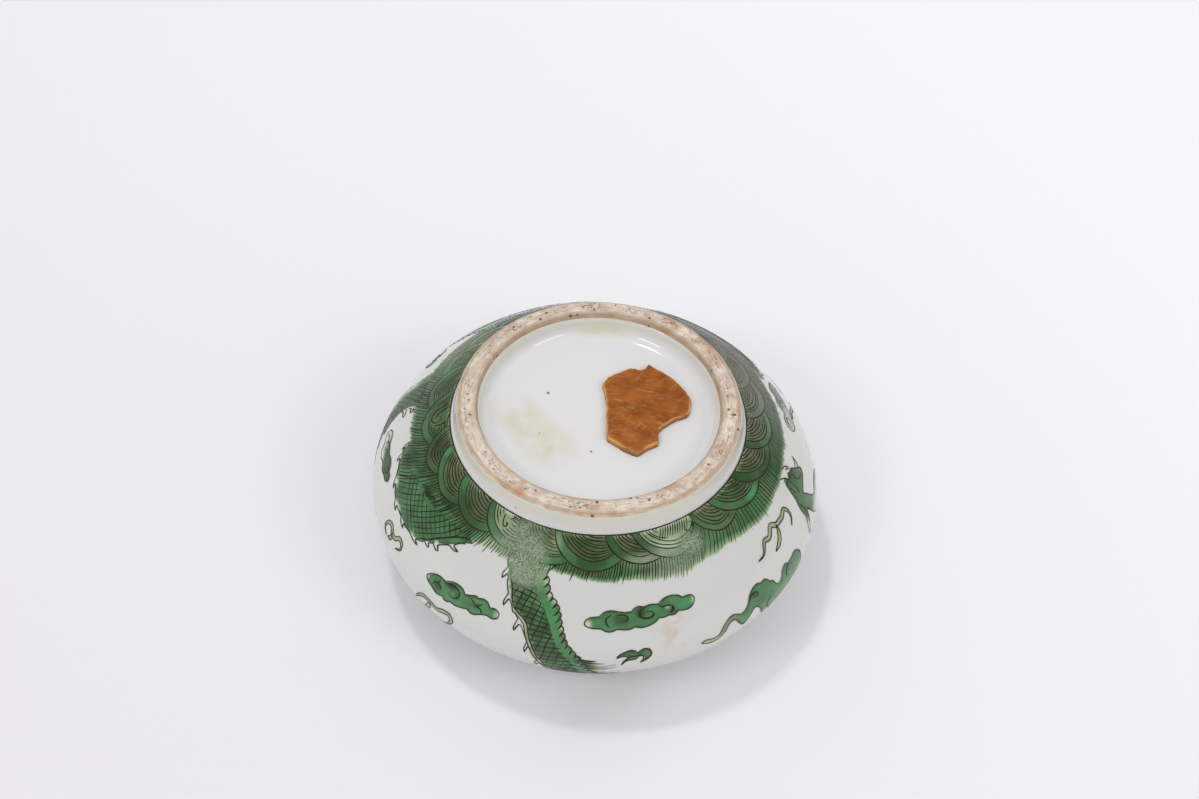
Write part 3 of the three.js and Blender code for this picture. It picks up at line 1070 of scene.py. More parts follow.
# %% [markdown]
# Round the foot runs a sea of overlapping waves, drawn like fish scales. Each wave is an oval whose
# left limb is long and nearly straight: a plain green lip outside, and a nest of dark arcs within.
# The arcs start well apart at the foot and run together at the right. A wave covers its left
# neighbour. Copies of one wave would look stamped, so each has its own width and depth, and its
# warmth and the size of its nest come from a seeded random draw.

# %% Waves
# Each seen wave is the angle of its lowest point, its reach to the left in degrees and its reach
# down in mm.
SEEN_WAVES = [
    (-103.5, 13.0, 7.0), (-87.5, 14.0, 7.0), (-73.5, 9.5, 6.8), (-59.0, 14.6, 6.7), (-43.5, 14.5, 6.7),
    (-29.5, 12.5, 6.7), (-15.0, 13.0, 6.9), (0.0, 14.2, 7.1), (17.5, 13.0, 6.3), (29.0, 14.5, 6.5),
    (48.0, 10.0, 6.3), (64.0, 16.0, 6.5), (80.0, 17.0, 6.6), (94.0, 14.0, 6.8),
]
HIDDEN_WAVES = [(angle, 14.0, 6.8) for angle in np.linspace(94.0, 256.5, 12)[1:-1]]
WAVE_TOP = -0.5
WAVE_RIGHT = 14.0
LIMB_POWER = 1.7
NEST_LEFT_SHARE = 0.78
NEST_RIGHT = 11.5
NEST_DEPTH_SHARE = 0.78
PALE_WAVES = (-29.5, 29.0)
WAVE_SEED = 5


def sag(away, left, right):
    """How deep an oval hangs, away degrees from its lowest point: 1 there and 0 at its ends."""
    away = np.asarray(away, float)
    power = np.where(away < 0, LIMB_POWER, 2.0)
    share = np.clip(abs(away) / np.where(away < 0, left, right), 0, 1)
    return (1 - share**power) ** (1 / power)


class Wave:
    """One wave: its lowest point, its size, and the size of the nest of arcs inside its lip."""

    def __init__(self, angle, left, lowest, random):
        self.angle = angle
        self.left = left
        self.depth = lowest - WAVE_TOP
        self.nest_left = left * NEST_LEFT_SHARE * random.uniform(0.97, 1.03)
        self.nest_depth = self.depth * NEST_DEPTH_SHARE * random.uniform(0.95, 1.04)
        self.lip_tone = random.uniform(0.45, 0.72)
        self.warmth = random.uniform(0.6, 1.1)
        self.pale = angle in PALE_WAVES

    def away(self, angle):
        """How many degrees an angle lies to the right of the wave's lowest point."""
        return (np.asarray(angle) - self.angle + 180) % 360 - 180

    def bottom(self, angle):
        """How far down the wave hangs at an angle, in mm."""
        return WAVE_TOP + self.depth * sag(self.away(angle), self.left, WAVE_RIGHT)

    def nest_bottom(self, angle):
        """How far down the nest of arcs hangs at an angle, in mm."""
        return WAVE_TOP + self.nest_depth * sag(self.away(angle), self.nest_left, NEST_RIGHT)


wave_random = np.random.default_rng(WAVE_SEED)
WAVES = [Wave(*numbers, wave_random) for numbers in SEEN_WAVES + HIDDEN_WAVES]
print(len(WAVES), "waves")

# %% [markdown]
# The green of the sea is one ring of enamel. A wash for each wave would leave seams, so we make
# one ring of small faces and work out the colour at each corner: bright on the plain lips, deeper
# and browner among the arcs. Its lower edge is ragged and fades into the white.

# %% The green of the sea
# Tables round the pot begin and end at this angle, which lies out of sight.
START_ANGLE = -125.0
# How far down the green reaches, in mm, at an angle round the pot.
SEA_EDGE = [
    (-125, 10.2), (-110, 10.6), (-97, 10.8), (-88, 10.3), (-60, 10.0), (-45, 9.8), (-40, 9.6), (-36, 8.9),
    (-27, 8.8), (-12, 8.1), (-5, 8.5), (0, 8.9), (5, 9.3), (7.5, 9.5), (10, 9.0), (15, 9.4), (20, 10.0),
    (25, 10.3), (30, 10.2), (36, 9.7), (45, 9.4), (50, 9.7), (55, 10.1), (60, 10.7), (66, 10.9), (72, 10.6),
    (90, 10.6), (110, 10.4), (150, 9.8), (200, 10.0), (235, 10.2),
]
# How long the green takes to fade at its lower edge, in mm, at an angle round the pot.
SEA_FADE = [
    (-125, 1.3), (-95, 1.7), (-80, 0.6), (-45, 0.5), (-39, 1.4), (-34, 3.0), (-25, 2.8), (-8, 0.9),
    (10, 1.0), (20, 2.4), (40, 2.2), (52, 1.4), (62, 1.3), (80, 1.1), (160, 1.6), (235, 1.3),
]
# The wide spot at 130 degrees greys the back right: partly wear, partly painted sheen.
FADED_GREEN = near(
    (-33.0, 7.5, 7.0, 2.4), (26.5, 5.5, 8.0, 5.0), (-12.3, 2.4, 3.0, 3.0), (16.0, 5.5, 7.0, 2.0),
    (130.0, 5.0, 40.0, 9.0), (228.0, 5.0, 12.0, 7.0), (-122.0, 8.0, 6.0, 3.0),
)
DEEP_WAVES = near(
    (-75.0, 3.4, 9.0, 5.0), (80.0, 2.5, 14.0, 4.5), (64.0, 2.4, 8.0, 3.4), (78.0, 5.6, 9.0, 2.4),
)
BRIGHT_SPOTS = near((65.0, 5.3, 4.5, 1.6), (-71.5, 1.6, 2.5, 1.6), (-38.5, 7.6, 3.0, 1.6))
# The wide spot at 130 degrees greys the back right: partly wear, partly painted sheen.
DULL_LIPS = near(
    (47.0, 4.5, 8.0, 4.0), (54.0, 2.6, 5.5, 3.5), (-75.0, 5.0, 8.0, 3.0), (16.0, 5.0, 7.0, 3.0),
    (130.0, 5.0, 40.0, 9.0),
)
SEA_TOP = 0.12
SEA_COLUMNS = 1200
SEA_ROWS = 44
SPRAY_TONE = 0.60
NEST_TONE = 0.50


def at_angle(table, angle):
    """A value from a table of (angle, value) pairs that runs once round from the start angle."""
    table = np.array(table, float)
    turned = (np.asarray(angle) - START_ANGLE) % 360 + START_ANGLE
    return np.interp(turned, table[:, 0], table[:, 1])


def sea_wash():
    """One ring of enamel, whose tone, warmth and thinness follow the waves."""
    angle = np.arange(SEA_COLUMNS) * 360.0 / SEA_COLUMNS + START_ANGLE
    ragged = at_angle(SEA_EDGE, angle) + 0.25 * ripple(angle, 9.0, 1.6, 2.0)
    ragged += 0.25 * ripple(angle, 9.0, 0.35, 4.0)
    share = np.linspace(0, 1, SEA_ROWS)
    down = SEA_TOP + (ragged[:, None] - SEA_TOP) * share
    angles = np.repeat(angle[:, None], SEA_ROWS, 1)
    fading = np.clip(1 - (ragged[:, None] - down) / at_angle(SEA_FADE, angles), 0, 1)
    warm = 0.7 * np.clip(0.3 + ripple(angles, down, 0.22, 3.0), 0, 1) * (1 - fading)
    tone = SPRAY_TONE + 0.5 * fading
    thin = 0.5 * fading + 0.5 * np.clip(fading * 3 - 2, 0, 1)
    for wave, after in zip(WAVES, WAVES[1:] + WAVES[:1]):
        mine = (down < wave.bottom(angles)) & (down >= after.bottom(angles))
        inner = (down - WAVE_TOP) / np.maximum(wave.nest_bottom(angles) - WAVE_TOP, 0.01)
        lip = mine & (inner >= 1)
        tone[lip] = wave.lip_tone
        warm[lip] = 0.55 * DULL_LIPS(angles, down)[lip]
        nest = mine & (inner < 1)
        tone[nest] = NEST_TONE
        warm[nest] = wave.warmth * np.clip(1.5 - inner[nest], 0.4, 1.0)
        root = np.clip(1.3 - down / 0.8, 0, 1) * np.clip(1.25 - inner, 0, 1)
        faded = (0.5 if wave.pale else 0.3) * root
        if wave.pale:
            faded = faded + 0.30
        thin[nest] = faded[nest]
    thin = thin + 0.22 * FADED_GREEN(angles, down)
    tone = tone + 0.40 * ripple(angles, down, 0.16, 8.0) - 0.35 * DEEP_WAVES(angles, down)
    tone = tone + 0.60 * BRIGHT_SPOTS(angles, down)
    lift = np.minimum(WASH_LIFT, EDGE_LIFT + 0.09 * (ragged[:, None] - down))
    points = on_wall(angles, down, lift).reshape(-1, 3)
    faces = []
    for c in range(SEA_COLUMNS):
        here = c * SEA_ROWS
        after = (c + 1) % SEA_COLUMNS * SEA_ROWS
        for r in range(SEA_ROWS - 1):
            faces.append((here + r, here + r + 1, after + r + 1, after + r))
    piece = link("sea_wash", points, faces)
    paint_values(piece.data, tone=tone.ravel(), edge=np.full(tone.size, 2.0), warm=warm.ravel(),
                 worn=wear_and_sheen_at(angles, down).ravel(), thin=thin.ravel())
    piece.data.materials.append(ENAMEL)
    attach(piece, "root")
    print("sea wash", len(faces), "faces")


sea_wash()

# %% [markdown]
# Inside each lip the painter set a nest of dark arcs, one within the other. A ring of equal ovals
# would look printed, so each arc has its own gap, width and tremble, and it is cut where it meets
# the next wave's lip. In three waves there are curls and combs instead, listed one by one.

# %% Arcs and curls
ARCS = 9
ARC_STEP = 0.52
ARC_DRIFT = 0.60
ARC_SPACING = 0.64
LEAST_ARC_DEPTH = 0.7
LIP_LINE_WIDTH = 0.27
ARC_WIDTHS = (0.17, 0.25)
# The places where the painter drew curls and combs in a wave instead of arcs.
OWN_CURLS = near((31.5, 1.0, 7.0, 2.0), (-32.6, 1.8, 2.4, 1.9), (-89.5, 2.7, 5.0, 2.2))
FOOT_LINE_DOWN = 0.14
FOOT_LINE_POINTS = 900
SMALL_CURLS = [
    [(-34.0, 0.7), (-33.6, 2.0), (-32.6, 3.1), (-31.5, 3.0), (-31.6, 2.3), (-32.4, 2.4)],
    [(-94.0, 0.6), (-93.2, 2.6), (-91.0, 4.3), (-88.2, 4.4), (-86.6, 3.2), (-87.6, 2.2), (-89.2, 2.6)],
    [(-92.4, 0.6), (-91.4, 2.2), (-89.8, 3.4), (-88.2, 3.4)], [(-85.6, 1.0), (-85.0, 2.4), (-85.8, 3.8)],
    [(35.2, 1.4), (34.6, 2.3), (35.8, 3.0), (37.6, 2.8), (38.2, 1.8), (37.2, 1.2)],
    [(-66.4, 9.4), (-64.8, 8.8), (-63.6, 9.3), (-62.3, 9.8), (-61.0, 9.0), (-59.5, 8.6), (-58.0, 8.9),
     (-56.4, 9.7)],
    [(-62.3, 9.9), (-61.4, 9.2), (-60.4, 9.3), (-60.8, 10.0)], [(-64.0, 9.4), (-63.6, 10.2), (-62.6, 10.6)],
]


def runs_of(path, shown):
    """The unbroken stretches of a path where shown is true, of three points or more."""
    ends = np.flatnonzero(np.diff(np.concatenate([[False], shown, [False]]).astype(int)))
    return [path[a:b] for a, b in zip(ends[::2], ends[1::2]) if b - a > 2]


def draw_waves(ink):
    """Each wave's lip line and the arcs of its nest, where nothing covers them."""
    half_turn = np.radians(np.linspace(180, 0, 70))
    for wave, after in zip(WAVES, WAVES[1:] + WAVES[:1]):
        arcs = [(wave.left, WAVE_RIGHT, wave.depth, 0.0)]
        for k in range(ARCS):
            inward = k + ink.random.uniform(-0.12, 0.12)
            drift = ARC_DRIFT * inward
            arcs.append((wave.nest_left - ARC_STEP * inward, NEST_RIGHT - drift,
                         wave.nest_depth - ARC_SPACING * inward, drift))
        for number, (left, right, depth, drift) in enumerate(arcs):
            if depth < LEAST_ARC_DEPTH:
                continue
            bowed = np.where(half_turn > math.pi / 2, 2 / LIMB_POWER, 1.0)
            across = np.where(half_turn > math.pi / 2, -left, right) * abs(np.cos(half_turn)) ** bowed
            path = np.stack([wave.angle + drift + across,
                             WAVE_TOP + depth * np.sin(half_turn) ** bowed], 1)
            phase = ink.random.uniform(0, 6)
            path[:, 1] += 0.06 * np.sin(half_turn * 4 + phase)
            path[:, 0] += 0.12 * np.sin(half_turn * 3 + phase)
            seen = (path[:, 1] > after.bottom(path[:, 0])) & (path[:, 1] > 0.15)
            seen &= OWN_CURLS(*path.T) == 0
            thickness = LIP_LINE_WIDTH if number == 0 else ink.random.uniform(*ARC_WIDTHS)
            green = ink.random.uniform(0.4, 1.0)
            for run in runs_of(path, seen):
                ink.line(run, thickness, green=green, ends=(0.5, 0.5), smooth=False)


wave_ink = Ink(11)
draw_waves(wave_ink)
foot_line = level_line(-180, 180, FOOT_LINE_DOWN, FOOT_LINE_POINTS)
wave_ink.line(foot_line, 0.3, green=0.1, ends=(1, 1), smooth=False)
for curl in SMALL_CURLS:
    wave_ink.line(curl, 0.3, green=0.6, lift=LINE_LIFT + 0.02)
for comb in np.arange(26.0, 37.5, 1.0):
    wave_ink.line([(comb, 0.2), (comb - 0.5, 1.2), (comb - 1.8, 2.6)], 0.2, green=0.6)
for comb in np.arange(-29.6, -24.0, 0.95):
    wave_ink.line([(comb, 0.2), (comb - 0.6, 0.8), (comb - 1.6, 1.5)], 0.22, green=0.3)
print("sea lines", wave_ink.count, "points")

# %% [markdown]
# Below the lips the sea breaks into spray: hundreds of short strokes over a green that fades out.
# They lean one way on the left and hardly at all on the right, and many run on past the green.
# No list could hold them all, so a loop walks round the pot and draws each with a little chance.

# %% Spray
SPRAY_WIDTH = 0.22
SPRAY_LENGTH = 2.6
# Both tables give a number of degrees at an angle round the pot: the gap between two strokes,
# and how far a stroke of that length drifts on its way down.
SPRAY_GAP = [(-125, 1.1), (-10, 0.92), (34, 0.9), (42, 1.25), (68, 1.4), (76, 1.05), (235, 1.1)]
SPRAY_LEAN = [
    (-125, -1.8), (-90, -2.8), (-60, -2.4), (-45, -2.0), (-30, -1.0), (5, -1.2), (25, -0.9), (36, -1.2),
    (44, -2.0), (52, -1.6), (58, -0.5), (68, 0.1), (80, -0.5), (150, 0.8), (235, -1.8),
]


def draw_spray(ink):
    """Short strokes from the waves' lips down to the ragged edge of the green, and past it."""
    angle = START_ANGLE
    while angle < START_ANGLE + 360:
        angle += at_angle(SPRAY_GAP, angle) * ink.random.uniform(0.88, 1.12)
        top = max(0.0, max(float(wave.bottom(angle)) for wave in WAVES)) + 0.05
        lean = at_angle(SPRAY_LEAN, angle) * ink.random.uniform(0.85, 1.15)
        foot = at_angle(SEA_EDGE, angle + lean) - 0.1 + ink.random.uniform(-0.6, 0.3)
        foot += 0.7 * (ink.random.uniform() < 0.15)
        lean *= (foot - top) / SPRAY_LENGTH
        bend = ink.random.uniform(-0.1, 0.2)
        points = [(angle, top), (angle + 0.45 * lean + bend, (top + foot) / 2), (angle + lean, foot)]
        width = SPRAY_WIDTH * ink.random.uniform(0.75, 1.1)
        ink.line(points, width, green=0.8, ends=(0.9, 0.15))


draw_spray(wave_ink)
wave_ink.finish("wave_lines", LINES)

# %% [markdown]
# Clouds float over the white as long patches with lobed edges, a dark outline and curls inside.
# A row of circles would give a toy cloud, so we list each cloud's lobes: a lobe starts at a notch
# and runs over its crown to the next notch. The green is laid by eye, so it slips a little off the
# outline and leaves the tips pale.

# %% Helpers for the clouds
OUTLINE_WIDTH = 0.22
OUTLINE_SLIP = (0.25, 0.10)


def lobed(lobes):
    """A closed edge with a sharp notch at the start of each lobe."""
    edge = []
    for lobe, after in zip(lobes, lobes[1:] + lobes[:1]):
        edge.append(smooth_line(list(lobe) + [after[0]])[:-1])
    return np.concatenate(edge)


def painted_shape(name, outline, curls=(), width=OUTLINE_WIDTH, turned=0.0, **enamel):
    """A wash with its dark outline and inner lines."""
    seed = enamel.get("seed", 1)
    wash(name + "_wash", outline + OUTLINE_SLIP, turned=turned, **enamel)
    ink = Ink(seed, turned)
    ink.edge(outline, width, green=0.0)
    for curl in curls:
        ink.line(curl, width * 1.25, green=0.75)
    return ink.finish(name + "_lines", LINES)


# %% [markdown]
# The front cloud lies right of the falling body. Its ends are thin, and its curls are deep green.

# %% Front cloud
FRONT_CLOUD = [
    [(3.2, 15.7), (4.3, 14.9), (6, 14.6), (8, 14.8)], [(9.8, 15.1), (10.8, 15.1)],
    [(11.8, 15.1), (12.6, 14.5), (13.8, 14.2), (14.7, 14.3)], [(15.2, 14.5), (17, 14.2), (18.4, 14.3)],
    [(19.4, 14.4), (21.2, 13.6), (23.6, 13.4), (25.4, 13.8)],
    [(26.4, 14.4), (28.6, 14.4), (29.7, 15), (29.4, 16), (28, 16.9), (26.2, 17.0)],
    [(24.6, 16.7), (23.4, 17.25)], [(21.8, 17.1), (20.4, 17.3)],
    [(19, 17.2), (17.8, 17.9), (15.8, 18.4), (14, 18.5)], [(12.6, 18.2), (10.6, 18.6)],
    [(7.6, 18.4), (6.4, 18.8), (5, 18.8)], [(3.4, 18.2), (1, 18.1), (-0.6, 17.6), (-0.7, 16.8), (0.6, 16)],
]
FRONT_CLOUD_CURLS = [
    [(15.2, 14.7), (14.0, 15.2), (13.8, 16.1), (15, 16.8), (16.8, 16.8), (17.8, 16.2), (17.0, 15.5),
     (15.6, 15.6)],
    [(14.3, 15.4), (14.1, 16.2), (15.2, 16.7), (16.8, 16.7), (17.5, 16.2)],
    [(19.4, 14.5), (20.3, 15.1), (22, 15.1), (23.3, 15.5), (23.4, 16.3), (22.4, 16.8)],
    [(23.0, 15.5), (23.2, 16.2), (22.3, 16.7)],
    [(6.3, 15.4), (5.0, 16.1), (4.9, 17.1), (5.9, 18.1)],
    [(7.4, 15.7), (9, 15.5), (10.5, 15.9), (10.6, 16.7), (9.4, 16.9)],
]
painted_shape(
    "front_cloud", lobed(FRONT_CLOUD), FRONT_CLOUD_CURLS, tone=0.88, seed=21,
    thin=near((-0.9, 17.4, 2.6, 1.4), (29.9, 15.6, 1.5, 1.3), (22, 15.7, 1.0, 0.4), (16, 16.1, 0.9, 0.3)),
    dark=near((9.4, 16.4, 3.2, 1.4), (14.2, 15.6, 2.4, 1.5), (22.9, 16.1, 1.6, 0.9)),
)

# %% [markdown]
# The cloud on the left is rounder, with a spiral left of its middle.

# %% Left cloud
LEFT_CLOUD = [
    [(-40.7, 18.9), (-38.6, 18), (-36.6, 17.8), (-35, 18.1)], [(-34, 18.8), (-32.4, 18.4), (-31, 17.9)],
    [(-30, 18.1), (-28.4, 17.7), (-27, 18)],
    [(-26.4, 18.8), (-24.6, 18.6), (-23.4, 19.2), (-23.5, 20.1), (-24.8, 20.8)],
    [(-26.6, 20.6), (-28.4, 21.1), (-29.8, 21.7), (-31, 21.85)],
    [(-32.2, 21.4), (-34, 21.9), (-36, 22.2)], [(-37.5, 22.1), (-38.3, 22.6), (-39.4, 22.6)],
    [(-39.9, 22.1), (-41.4, 22.5), (-42.6, 22.4)],
    [(-43.8, 22), (-45.8, 21.4), (-46.5, 20.6), (-45.4, 19.6), (-43, 18.8)],
]
LEFT_CLOUD_CURLS = [
    [(-40.7, 19.2), (-38.6, 18.7), (-36.2, 18.8), (-35.3, 19.7), (-36.2, 20.8), (-37.9, 21), (-38.4, 20.3)],
    [(-43.9, 21.2), (-43.4, 20.5), (-42, 20.3), (-41.2, 20.9), (-41.4, 21.5)],
    [(-42.3, 19.3), (-42.2, 20.4)],
    [(-32, 18.8), (-30.9, 19.4), (-30, 19.8), (-28.9, 19.9), (-28, 20.6), (-28.6, 21.1)],
    [(-28.3, 18.8), (-29.3, 19.4), (-30.2, 19.9)],
]
painted_shape(
    "left_cloud", lobed(LEFT_CLOUD), LEFT_CLOUD_CURLS, tone=0.86, seed=22,
    thin=near((-46.6, 20.6, 1.0, 1.2), (-23.3, 19.5, 1.3, 1.0), (-28.6, 21.0, 0.9, 0.4)),
    dark=near(
        (-38.4, 18.9, 2.8, 0.8), (-30.0, 19.6, 1.8, 0.9), (-42.4, 20.6, 2.0, 1.0), (-36, 20.4, 1.2, 1.0),
    ),
)

# %% [markdown]
# Two small clouds lie near the edges of what the photograph shows, one dark and one thin.

# %% Clouds at the sides
SIDE_CLOUD = [
    [(-95.5, 17.3), (-93.8, 16.2), (-91.6, 16.1)], [(-90, 16.5), (-88, 16.5)],
    [(-86.2, 16.6), (-84, 16), (-82, 16.1), (-80, 16.8)], [(-78.6, 16.8), (-77.6, 17.6), (-79, 18.7)],
    [(-80.6, 18.7), (-83, 19.3)], [(-85.5, 19), (-88.5, 19.9), (-91, 19.6)], [(-92.6, 18.8), (-95, 18.6)],
]
SIDE_CLOUD_CURLS = [
    [(-94.6, 17.8), (-92.4, 17.2), (-91, 17.6), (-91.4, 18.4)], [(-91.8, 18), (-90.6, 17), (-88.8, 16.8)],
    [(-82.6, 17.1), (-80.6, 17.3), (-80.8, 18.1), (-83, 18.3)],
]
FAR_CLOUD = [
    [(100.3, 13.9), (101.2, 12.5), (103.2, 12.1), (105, 12.4)], [(106.6, 12.9), (108.4, 12), (110.6, 11.8)],
    [(112.6, 12.2), (115, 11.8), (117, 12.2)], [(118.4, 13), (120, 14), (118, 15.1)],
    [(116, 14.9), (113, 15.4)], [(110.5, 15.1), (107.5, 15.7)], [(105.8, 15.3), (103.6, 15.5), (101.4, 15)],
]
FAR_CLOUD_CURLS = [
    [(101.6, 14.2), (102.6, 13), (104.6, 13), (105.2, 14.1), (103.8, 14.7)],
    [(108.4, 13.4), (110.4, 12.9), (112.2, 13.5), (111.6, 14.4)],
]
painted_shape(
    "side_cloud", lobed(SIDE_CLOUD), SIDE_CLOUD_CURLS, tone=0.15, seed=23,
    thin=near((-95, 17.8, 6.5, 2.2), (-89, 19.4, 5, 1.0)),
)
painted_shape(
    "far_cloud", lobed(FAR_CLOUD), FAR_CLOUD_CURLS, tone=0.4, seed=24,
    thin=near((104.0, 13.9, 9.5, 3.6)),
)

# %% [markdown]
# The back is out of sight in the photograph. An empty back would be wrong, and new forms would be
# made up, so two of the seen clouds come again there, turned round the pot.

# %% Clouds at the back
HIDDEN_TURN = 205.0
CLOUD_SHIFT = (-25, -1.5)

painted_shape(
    "hidden_cloud", moved(lobed(FRONT_CLOUD), *CLOUD_SHIFT),
    [moved(curl, *CLOUD_SHIFT) for curl in FRONT_CLOUD_CURLS],
    tone=0.7, seed=26, turned=HIDDEN_TURN, dark=near((-15.8, 14.9, 1.9, 0.9)),
    thin=near((-25.9, 15.9, 2.6, 1.4), (4.9, 14.1, 1.5, 1.3)),
)
painted_shape(
    "small_hidden_cloud", lobed(LEFT_CLOUD), LEFT_CLOUD_CURLS, tone=0.6, seed=27, turned=HIDDEN_TURN,
    thin=near((-46.2, 20.6, 1.2, 1.4)), dark=near((-38.8, 19.0, 2.6, 0.8)),
)

# %% [markdown]
# One long cloud trails off to the left in a wavy tail. Its wash is thin, so the white shows
# through, most of all in the tail. A list of thin spots would show as patches, so a small
# function thins the wash steadily towards the tip.

# %% Trailing cloud
TRAILING_CLOUD = [
    [(56.3, 24), (57.4, 23.4), (58.4, 22.1), (60, 21.5)],
    [(61.5, 22.1), (63.5, 21.9), (65, 21.7), (66.8, 22.4), (67.8, 24), (67.4, 27), (64.5, 30.5), (60, 31.5),
     (56, 31.2), (53.2, 29.8), (51.8, 28)],
    [(51.2, 26.8), (50.4, 28.2), (49.2, 27.8), (48.5, 26), (47.5, 24.8), (46.3, 24.5), (44.5, 25.8),
     (42.6, 27), (41, 25.5), (39.8, 24.1), (38, 24.3), (36.5, 26), (34.5, 27.2), (32, 27.1), (30, 26.2)],
    [(29.8, 26.0), (30.9, 25.6), (33, 26.1), (34.8, 25.9), (36, 24.3), (37.6, 23), (39.2, 22.6),
     (40.4, 22.9), (42, 23.6), (43.5, 23.2), (44.6, 22.2), (45.3, 21), (47, 20), (48.8, 19.7)],
    [(50.1, 20.2), (51.6, 20.1), (52.8, 21)], [(53.1, 21.5), (54.4, 22.1), (55.1, 23.4)],
]
TRAILING_CURLS = [
    [(45.2, 22.4), (45.6, 21.5), (46.8, 21), (48, 21.2), (48.4, 21.9), (47.6, 22.4)],
    [(61.6, 22.3), (60.2, 23), (59.8, 24.2), (60.8, 25)], [(51.3, 26.8), (51.6, 25.6), (52.6, 25)],
]
TAIL_TIP = 30
TAIL_DEGREES = 22
TAIL_THIN = 0.55
TRAIL_TURN = 76.0


def tail_thin(angle, down):
    """More of the white shows towards the tail's tip."""
    return np.clip(TAIL_THIN - (angle - TAIL_TIP) / TAIL_DEGREES, 0.0, TAIL_THIN)


painted_shape("trailing_cloud", lobed(TRAILING_CLOUD), TRAILING_CURLS, tone=0.85, seed=25, thin=tail_thin,
              dark=near((47.2, 21.6, 1.6, 0.8)))
painted_shape("hidden_trailing_cloud", lobed(TRAILING_CLOUD), TRAILING_CURLS, tone=0.55, seed=28,
              thin=tail_thin, turned=TRAIL_TURN)

# %% [markdown]
# Flames lick between the clouds: narrow bands that fork and end in points. Two edges drawn by
# hand would never stay the same width apart, so we give the middle line and a width, and work
# out the outline at both sides.

# %% Flames
FLAME_WIDTH = 0.95
SMALL_FLAME_WIDTH = 0.8
FLAME_THIN = 0.48
FLAME_LIFT = 0.05
TONGUE_RISE = 0.008


def band(points, width, start=0.1, end=0.1):
    """A closed outline at both sides of a middle line, narrowing at its ends."""
    path = smooth_line(points)
    scale = mm_per_degree(path[:, 1])
    way = np.gradient(path, axis=0)
    way[:, 0] *= scale
    way /= np.linalg.norm(way, axis=1)[:, None]
    u = np.linspace(0, 1, len(path))
    half = width / 2 * np.minimum(np.minimum(start + 3 * u, end + 3 * (1 - u)), 1.0)
    side = np.stack([-way[:, 1] * half / scale, way[:, 0] * half], 1)
    return np.concatenate([path - side, (path + side)[::-1]])


def flame_thin(angle, down):
    """The same thinness all over a flame."""
    return np.full(len(angle), FLAME_THIN)


def flame(name, lines, seed, width=FLAME_WIDTH, turned=0.0):
    """A wash and an outline for each tongue, each laid a little over the one before."""
    ink = Ink(seed, turned)
    for number, points in enumerate(lines):
        outline = band(points, width)
        wash(f"{name}_wash_{number}", outline, tone=0.5, seed=seed + number, thin=flame_thin,
             lift=FLAME_LIFT + TONGUE_RISE * number, turned=turned)
        ink.edge(outline, OUTLINE_WIDTH, green=0.15)
    ink.finish(name + "_lines", LINES)


RIGHT_FLAME = [
    [(52.4, 16.2), (55, 15.9), (57.3, 14), (59.6, 14.3), (62.3, 12.9), (64.3, 13.9), (66.3, 14),
     (68, 14.1), (70, 13.6), (71.2, 14.7), (70.9, 16.2), (69.2, 17.4)],
    [(64.2, 13.8), (63.7, 15.3), (61.8, 16.9), (59.2, 17.6)],
]
LEFT_FLAME = [
    [(-50, 29.6), (-48, 27.2), (-45.8, 25.8), (-43.4, 26), (-41, 26.5), (-39, 25.7), (-37, 25.5),
     (-36.2, 26.8), (-37.3, 28.8), (-39.6, 30.8)],
    [(-43.6, 26.1), (-44.4, 28), (-46.4, 30.4)],
]
SMALL_FLAME = [
    [(-65.8, 23.7), (-67.8, 22.5), (-66.9, 20.9), (-65, 20.6), (-63.6, 21.5), (-61.8, 21.6),
     (-60.4, 20.5), (-58.7, 20.7), (-58.3, 22), (-60.2, 23.1)],
    [(-63.7, 21.5), (-63.6, 22.8), (-65, 23.4)],
]
EDGE_FLAME = [[(106.5, 16.0), (109.5, 16.8), (112, 18.4), (114.5, 20.4), (118, 22)]]

flame("right_flame", RIGHT_FLAME, 31)
flame("left_flame", LEFT_FLAME, 35)
flame("small_flame", SMALL_FLAME, 39, width=SMALL_FLAME_WIDTH)
flame("edge_flame", EDGE_FLAME, 43, width=SMALL_FLAME_WIDTH)
flame("hidden_flame", LEFT_FLAME, 45, turned=HIDDEN_TURN)
flame("small_hidden_flame", SMALL_FLAME, 47, width=SMALL_FLAME_WIDTH, turned=HIDDEN_TURN + 9)

# %% [markdown]
# The dragons wind in and out of the sea. A tube of one width would look like a rope, so we
# describe a body by its two long edges, and place its belly plates by a share across the body and
# a share along it. Its scales are a net of two sets of lines that cross, clipped to the scaly side.

# %% Helpers for the dragons
SCALE_SHARE = 0.70
PLATE_GAP = 1.5
EDGE_POINTS = 200
PART_POINTS = 90


def resampled(points, count):
    """Evenly spaced points along a smooth line."""
    path = smooth_line(points)
    scale = mm_per_degree(path[:, 1])
    step = np.hypot(np.diff(path[:, 0]) * scale[1:], np.diff(path[:, 1]))
    length = np.concatenate([[0], np.cumsum(step)])
    places = np.linspace(0, length[-1], count)
    return np.stack([np.interp(places, length, path[:, k]) for k in (0, 1)], 1), length[-1]


